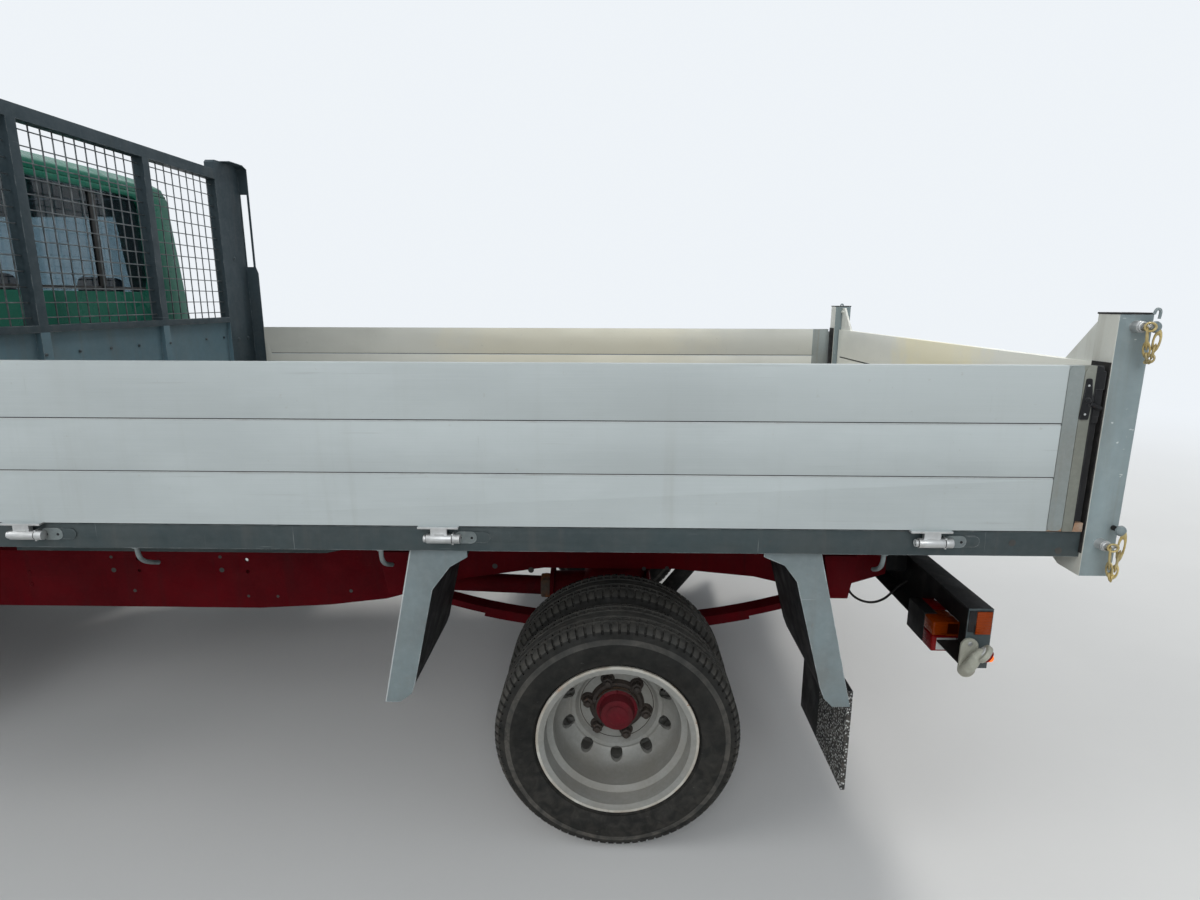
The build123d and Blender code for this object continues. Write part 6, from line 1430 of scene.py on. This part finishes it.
def dashShapes():
    pane(bm, rectangle(0.47, 0.010, 0.34, 0.112), 0.025, 0.012, 0.014, (0, 0, 1))
    pane(bm, rectangle(-0.47, -0.005, 0.40, 0.100), 0.015, 0.005, normal=(0, 0, 1))
    pane(bm, rectangle(0.02, 0.030, 0.20, 0.056), 0.010, 0.006, normal=(0, 0, 1))
    block(bm, (-0.50, 0.022, 0.004), (-0.44, 0.036, 0.011), 0.003)
    for u in (-0.80, -0.17, 0.20, 0.80):
        pane(bm, rectangle(u, 0.025, 0.105, 0.062), 0.012, 0.010, 0.008, (0, 0, 1))
        for count in range(5):
            block(bm, (u - 0.046, 0.003 + count * 0.010, 0.001), (u + 0.046, 0.006 + count * 0.010, 0.008), 0.001)
    for u in (-0.04, 0.02, 0.08):
        rod(bm, (u, -0.035, 0), (u, -0.035, 0.020), 0.017, 22, tip=0.015, bevel=0.002)
        block(bm, (u - 0.002, -0.035, 0.019), (u + 0.002, -0.020, 0.022), 0.0006)


# place, radius, marks, needle's angle
dials = ((0.395, 0.036, 13, 222), (0.545, 0.036, 13, 222), (0.470, 0.020, 7, 120))


def dialFaces():
    pane(bm, rectangle(0.47, 0.010, 0.312, 0.084, 0.001), 0.015, 0.002, normal=(0, 0, 1))
    for u, radius, marks, turn in dials:
        rod(bm, (u, 0.010, 0.002), (u, 0.010, 0.0045), radius, 32, bevel=0.0006)


def dialMarks():
    for u, radius, marks, needle in dials:
        hoop(bm, (u, 0.010, 0.0046), (0, 0, 1), radius, 0.0008, steps=32, sides=6)
        for count in range(marks):
            turn = radians(225 - 270 * count / (marks - 1))
            reach = Vector((cos(turn), sin(turn), 0))
            at = Vector((u, 0.010, 0.0048))
            rod(bm, at + reach * radius * (0.74 if count % 2 else 0.66), at + reach * radius * 0.90, 0.0006, 5)


# the needles take the glowing lens: a painted glow
def needles():
    for u, radius, marks, turn in dials:
        at = Vector((u, 0.010, 0.0058))
        rod(bm, at, at + Vector((cos(radians(turn)), sin(radians(turn)), 0)) * radius * 0.78, 0.0011, 6, tip=0.0005)
        rod(bm, at - Vector((0, 0, 0.001)), at + Vector((0, 0, 0.0012)), 0.0035, 12)


onDash(dashShapes)
dye(bm, 0)
onDash(dialFaces)
dye(bm, 1)
onDash(dialMarks)
dye(bm, 2)
onDash(needles)
dye(bm, 3)
block(bm, (1.585, -0.665, 1.098), (1.700, -0.275, 1.162), 0.022, 3)  # hood over the dials
rod(bm, (1.36, -0.17, 0.681), (1.352, -0.17, 0.770), 0.062, 24, tip=0.018, bevel=0.004)
rod(bm, (1.353, -0.17, 0.760), (1.325, -0.17, 0.980), 0.008, 14, tip=0.007)
ball(bm, (1.322, -0.17, 1.002), 0.026, (1, 1, 1.15), 20)
block(bm, (0.98, -0.190, 0.681), (1.20, -0.150, 0.715), 0.008)
rod(bm, (1.02, -0.17, 0.712), (1.235, -0.17, 0.800), 0.010, 14)
rod(bm, (1.150, -0.17, 0.766), (1.265, -0.17, 0.812), 0.0155, 18, bevel=0.004)
for y, wide in ((-0.60, 0.05), (-0.48, 0.05), (-0.37, 0.04)):
    rod(bm, (1.66, y, 0.93), (1.53, y, 0.835), 0.008, 10)
    block(bm, (1.512, y - wide / 2, 0.795), (1.530, y + wide / 2, 0.862), 0.004)
for y in (-0.47, 0.42):
    block(bm, (1.285, y - 0.20, 0.6808), (1.440, y + 0.20, 0.6868), 0.003)
    block(bm, (1.455, y - 0.19, 1.944), (1.600, y + 0.19, 1.959), 0.006, 3)  # sun visor
    rod(bm, (1.603, y - 0.19, 1.953), (1.603, y + 0.19, 1.953), 0.005, 10)
block(bm, (1.586, -0.115, 1.852), (1.606, 0.115, 1.912), 0.008, 3)
rod(bm, (1.606, 0.0, 1.890), (1.640, 0.0, 1.925), 0.007, 12)
stalkAt = steerLook["middle"] + Vector((0.085, 0, -0.120))
for way in (1, -1):
    rod(bm, stalkAt, stalkAt + Vector((-0.030, way * 0.135, 0.045)), 0.007, 12, tip=0.006)
    rod(bm, stalkAt + Vector((-0.030, way * 0.135, 0.045)), stalkAt + Vector((-0.037, way * 0.168, 0.056)), 0.009, 12,
        bevel=0.002)
dye(bm, 0)
pane(bm, upright(1.5855, 1, -0.108, 0.108, 1.858, 1.906), 0.012, 0.001, normal=(-1, 0, 0))
dye(bm, 4)
settle("cab_controls", bm, [moulding, seamDark, whitePaint, lensLit, mirrorGlass], "chassis",
       dyed=True)

bm = bmesh.new()
wheelAxis = (-sin(steerLook["tilt"]), 0, cos(steerLook["tilt"]))
lathe(bm, [(0.010, 0.0), (0.034, 0.0), (0.033, 0.035), (0.026, 0.052), (0.014, 0.058), (0.010, 0.058)],
      steerLook["middle"], wheelAxis, 36)
settle("wheel_boss", bm, moulding, "steering_wheel")

# seats: a base, a padded cushion and back, and head rests
seatPads = {"voxel": 0.0095, "pressure": 4, "frames": 20, "seam": 0.014, "seamDepth": 0.009, "edgeSeam": 0.085,
            "pads": []}


def cushion(name, low, high, turn=0.0, cap=0.024, channels=()):
    bm = bmesh.new()
    low, high = Vector(low), Vector(high)
    block(bm, low, high, 0.030, 3)
    if turn:
        bmesh.ops.rotate(bm, verts=bm.verts, cent=(low + high) / 2, matrix=Matrix.Rotation(turn, 3, "Y"))
    mesh = bpy.data.meshes.new(name)
    bm.to_mesh(mesh)
    bm.free()
    pad = bpy.data.objects.new(name, mesh)
    bpy.context.scene.collection.objects.link(pad)
    grid = pad.modifiers.new("grid", "REMESH")
    grid.mode = "VOXEL"
    grid.voxel_size = seatPads["voxel"]
    depsgraph = bpy.context.evaluated_depsgraph_get()
    pad.data = bpy.data.meshes.new_from_object(pad.evaluated_get(depsgraph))
    pad.modifiers.clear()
    seatPads["pads"].append((pad, cap, channels, (low, high, turn)))


for middle, wide, rests in ((-0.47, 0.455, (-0.47,)), (0.33, 0.855, (0.115, 0.545))):
    tag = "driver" if middle < 0 else "bench"
    parts = () if middle < 0 else (0.33,)
    cushion(f"seat_cushion_{tag}", (0.868, middle - wide / 2, 0.905), (1.262, middle + wide / 2, 1.012), 0.03, 0.024,
            parts)
    cushion(f"seat_back_{tag}", (0.690, middle - wide / 2 + 0.01, 1.035), (0.785, middle + wide / 2 - 0.01, 1.475),
            -0.14, 0.022, parts)
    for y in rests:
        cushion(f"head_rest_{tag}_{'a' if y < 0.3 else 'b'}", (0.664, y - 0.125, 1.512), (0.724, y + 0.125, 1.594),
                -0.10, 0.010)
for pad, cap, channels, form in seatPads["pads"]:
    stuffing = pad.modifiers.new("stuffing", "CLOTH")
    stuffing.settings.use_pressure = True
    stuffing.settings.uniform_pressure_force = seatPads["pressure"]
    stuffing.settings.effector_weights.gravity = 0
    stuffing.settings.quality = 4
    stuffing.collision_settings.use_collision = False
    stuffing.point_cache.frame_start = 1
    stuffing.point_cache.frame_end = seatPads["frames"]
for frameNumber in range(1, seatPads["frames"] + 1):
    bpy.context.scene.frame_set(frameNumber)
depsgraph = bpy.context.evaluated_depsgraph_get()
swollen = []
for pad, cap, channels, form in seatPads["pads"]:
    made = pad.evaluated_get(depsgraph).data
    swollen.append([made.vertices[i].co.copy() for i in range(len(made.vertices))])
for (pad, cap, channels, form), places in zip(seatPads["pads"], swollen):
    for vertex, place in zip(pad.data.vertices, places):
        move = place - vertex.co
        if move.length > cap:
            move = move.normalized() * cap
        vertex.co = vertex.co + move
    pad.modifiers.clear()
bpy.context.scene.frame_set(1)
for pad, cap, channels, (low, high, turn) in seatPads["pads"]:
    middle = (low + high) / 2
    flat = high.z - low.z < 0.2 and high.x - low.x > 0.2
    rest = "head" in pad.name
    back = Matrix.Rotation(-turn, 3, "Y")
    half = (high - low) / 2
    edge, seam = seatPads["edgeSeam"], seatPads["seam"]
    lines = [] if rest else [way * (half.y - edge) for way in (1, -1)] + [y - middle.y for y in channels]
    lines += [y - middle.y + way * edge for y in channels for way in (1, -1)]
    rows = [] if rest else ([-0.10, 0.04] if flat else [-0.13, 0.02, 0.15])
    for vertex in pad.data.vertices:
        spot = back @ (vertex.co - middle)
        out = spot.z if flat else spot.x
        reach = half.z if flat else half.x
        if out < reach * 0.5:
            continue
        along = spot.x if flat else spot.z
        sink = 0.0
        for place in lines:
            sink = max(sink, 1 - abs(spot.y - place) / seam)
        for place in rows:
            if abs(spot.y) < half.y - edge:
                sink = max(sink, 0.8 * (1 - abs(along - place) / seam))
        push = back.inverted() @ (Vector((0, 0, -1)) if flat else Vector((-1, 0, 0)))
        vertex.co = vertex.co + push * sink * sink * (3 - 2 * sink) * seatPads["seamDepth"]
    pad.data.materials.clear()
    pad.data.materials.append(seatCloth)
    for face in pad.data.polygons:
        face.use_smooth = True
    smooth = pad.modifiers.new("smooth", "SUBSURF")
    smooth.levels = smooth.render_levels = 1
    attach(pad, "chassis")
    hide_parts("seats")
bm = bmesh.new()
for middle, wide in ((-0.47, 0.44), (0.33, 0.84)):
    low, high = middle - wide / 2, middle + wide / 2
    block(bm, (0.730, low + 0.02, 0.673), (1.225, high - 0.02, 0.880), 0.012, 3)
    block(bm, (0.705, low, 0.872), (1.250, high, 0.904), 0.008, 3)
    for y in (low + 0.004, high - 0.004):
        rod(bm, (0.80, y - 0.008, 0.985), (0.80, y + 0.008, 0.985), 0.042, 28, bevel=0.003)
        block(bm, (0.775, y - 0.006, 0.885), (0.835, y + 0.006, 0.985), 0.004)
    for y in ((middle,) if middle < 0 else (0.115, 0.545)):
        for way in (-0.055, 0.055):
            rod(bm, (0.700, y + way, 1.440), (0.693, y + way, 1.530), 0.006, 12)
settle("seat_frames", bm, moulding, "chassis")
print("cab inside made")

# under the bonnet
engineLook = {
    "ribs": 6, "ribStep": 0.065, "terminals": ((2.28, 0.50), (2.28, 0.60)),
    "hoses": (([(2.38, 0.10, 0.90), (2.44, 0.12, 0.93), (2.49, 0.20, 0.90), (2.52, 0.25, 0.86)], 0.019),
              ([(2.40, -0.10, 0.60), (2.45, -0.18, 0.56), (2.49, -0.24, 0.55), (2.52, -0.26, 0.55)], 0.019),
              ([(2.05, 0.12, 0.95), (2.12, 0.22, 0.97), (2.22, 0.34, 0.94), (2.30, 0.42, 0.90)], 0.030),
              ([(2.00, -0.14, 0.94), (2.04, -0.22, 0.96), (2.02, -0.32, 0.93), (1.96, -0.38, 0.86)], 0.009))}
bm = bmesh.new()
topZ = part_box("engine")[1].z
block(bm, (1.95, -0.120, topZ - 0.002), (2.40, 0.075, topZ + 0.020), 0.010, 3)
for count in range(engineLook["ribs"]):
    along = count * engineLook["ribStep"]
    block(bm, (1.985 + along, -0.100, topZ + 0.018), (2.000 + along, 0.055, topZ + 0.027), 0.002)
rod(bm, (2.34, -0.02, topZ + 0.018), (2.34, -0.02, topZ + 0.048), 0.028, 22, bevel=0.004)
dye(bm, 0)
for points, radius in engineLook["hoses"]:
    bent(bm, points, radius)
dye(bm, 1)
block(bm, (2.24, 0.46, 0.72), (2.46, 0.64, 0.90), 0.010, 3)
block(bm, (2.27, -0.64, 0.70), (2.45, -0.46, 0.87), 0.012, 3)
dye(bm, 2)
for x, y in engineLook["terminals"]:
    rod(bm, (x, y, 0.900), (x, y, 0.915), 0.010, 14, bevel=0.001)
    block(bm, (x - 0.018, y - 0.012, 0.903), (x + 0.014, y + 0.012, 0.913), 0.002)
dye(bm, 3)
settle("engine_dressing", bm, [castIron, sealRubber, guardBlack, zincSteel], "chassis", dyed=True)
print("engine bay made")

# stage, light and camera
stageLook = {"floor": (0.66, 0.66, 0.65), "back": (0.86, 0.90, 0.94)}
floorMesh = bmesh.new()
bmesh.ops.create_grid(floorMesh, x_segments=1, y_segments=1, size=60)
mesh = bpy.data.meshes.new("studioFloor")
floorMesh.to_mesh(mesh)
floorMesh.free()
studioFloor = bpy.data.objects.new("studioFloor", mesh)
bpy.context.scene.collection.objects.link(studioFloor)
w = Wiring("paleFloor")
mesh.materials.append(w.finish(w.mix(w.limit(w.cloud(0.6, 6), 0.3, 0.7), stageLook["floor"],
                                     tuple(c * 0.96 for c in stageLook["floor"])), 0.85))
w.bump((w.cloud(60, 4), 0.15, 0.002))
away = w.sum("SQRT", w.sum("ADD", w.sum("POWER", w.x, 2.0), w.sum("POWER", w.y, 2.0)))
seenBy = w.tree.nodes.new("ShaderNodeLightPath")
fade = w.sum("MULTIPLY", w.limit(away, 4.5, 12.0), w.sum("ADD", w.sum("ADD", seenBy.outputs["Is Camera Ray"],
                                                                      seenBy.outputs["Is Glossy Ray"]),
                                                         seenBy.outputs["Is Transmission Ray"], True))
backdrop = w.tree.nodes.new("ShaderNodeEmission")
backdrop.inputs["Color"].default_value = (*stageLook["back"], 1)
swap = w.tree.nodes.new("ShaderNodeMixShader")
w.join(fade, swap.inputs[0])
w.tree.links.new(w.shader.outputs[0], swap.inputs[1])
w.tree.links.new(backdrop.outputs[0], swap.inputs[2])
w.tree.links.new(swap.outputs[0], w.tree.nodes["Material Output"].inputs["Surface"])

studioLevel = {"sky": 0.46, "key": 1.25, "fill": 1.15, "front": 0.75}
world = bpy.data.worlds.new("studioSky")
bpy.context.scene.world = world
world.use_nodes = True
tree = world.node_tree
back = tree.nodes["Background"]
back.inputs["Color"].default_value = (0.88, 0.94, 1.0, 1)
back.inputs["Strength"].default_value = studioLevel["sky"]
seen = tree.nodes.new("ShaderNodeBackground")
seen.inputs["Color"].default_value = (*stageLook["back"], 1)
seen.inputs["Strength"].default_value = 1.0
path = tree.nodes.new("ShaderNodeLightPath")
pick = tree.nodes.new("ShaderNodeMixShader")
rays = [path.outputs[kind] for kind in ("Is Camera Ray", "Is Glossy Ray", "Is Transmission Ray")]
for ray in rays[1:]:
    added = tree.nodes.new("ShaderNodeMath")
    added.use_clamp = True
    tree.links.new(rays[0], added.inputs[0])
    tree.links.new(ray, added.inputs[1])
    rays[0] = added.outputs[0]
tree.links.new(rays[0], pick.inputs[0])
tree.links.new(back.outputs[0], pick.inputs[1])
tree.links.new(seen.outputs[0], pick.inputs[2])
tree.links.new(pick.outputs[0], tree.nodes["World Output"].inputs["Surface"])


def lamp(name, fromWay, power, colour, spread=22):
    data = bpy.data.lights.new(name, "SUN")
    data.energy = power
    data.angle = radians(spread)
    data.color = colour
    made = bpy.data.objects.new(name, data)
    made.rotation_euler = Vector(fromWay).to_track_quat("Z", "Y").to_euler()
    bpy.context.scene.collection.objects.link(made)


lamp("keySoft", (-0.45, -0.55, 0.95), studioLevel["key"], (1.0, 0.975, 0.94), 14)
lamp("fillSoft", (0.05, 1.0, 0.62), studioLevel["fill"], (0.97, 0.985, 1.0), 40)
lamp("frontSoft", (1.0, 0.25, 0.75), studioLevel["front"], (1.0, 0.99, 0.97), 40)

shot = {
    "place": (rearX + 0.02, 2.658, 1.498), "forward": (0.0171, -0.9772, -0.2118), "right": (-0.99985, -0.01745, 0.0),
    "roll": -0.0031, "lens": 20.7}
ahead = Vector(shot["forward"]).normalized()
right = Vector(shot["right"]).normalized()
up = right.cross(ahead)
right, up = right * cos(shot["roll"]) - up * sin(shot["roll"]), up * cos(shot["roll"]) + right * sin(shot["roll"])
cameraData = bpy.data.cameras.new("photoCamera")
cameraData.lens = shot["lens"]
cameraData.sensor_width = 36
cameraData.clip_end = 200
camera = bpy.data.objects.new("photoCamera", cameraData)
camera.matrix_world = Matrix.Translation(shot["place"]) @ Matrix((right, up, -ahead)).transposed().to_4x4()
bpy.context.scene.collection.objects.link(camera)
bpy.context.scene.camera = camera
bpy.context.scene.view_settings.view_transform = "Standard"

print("scene done")
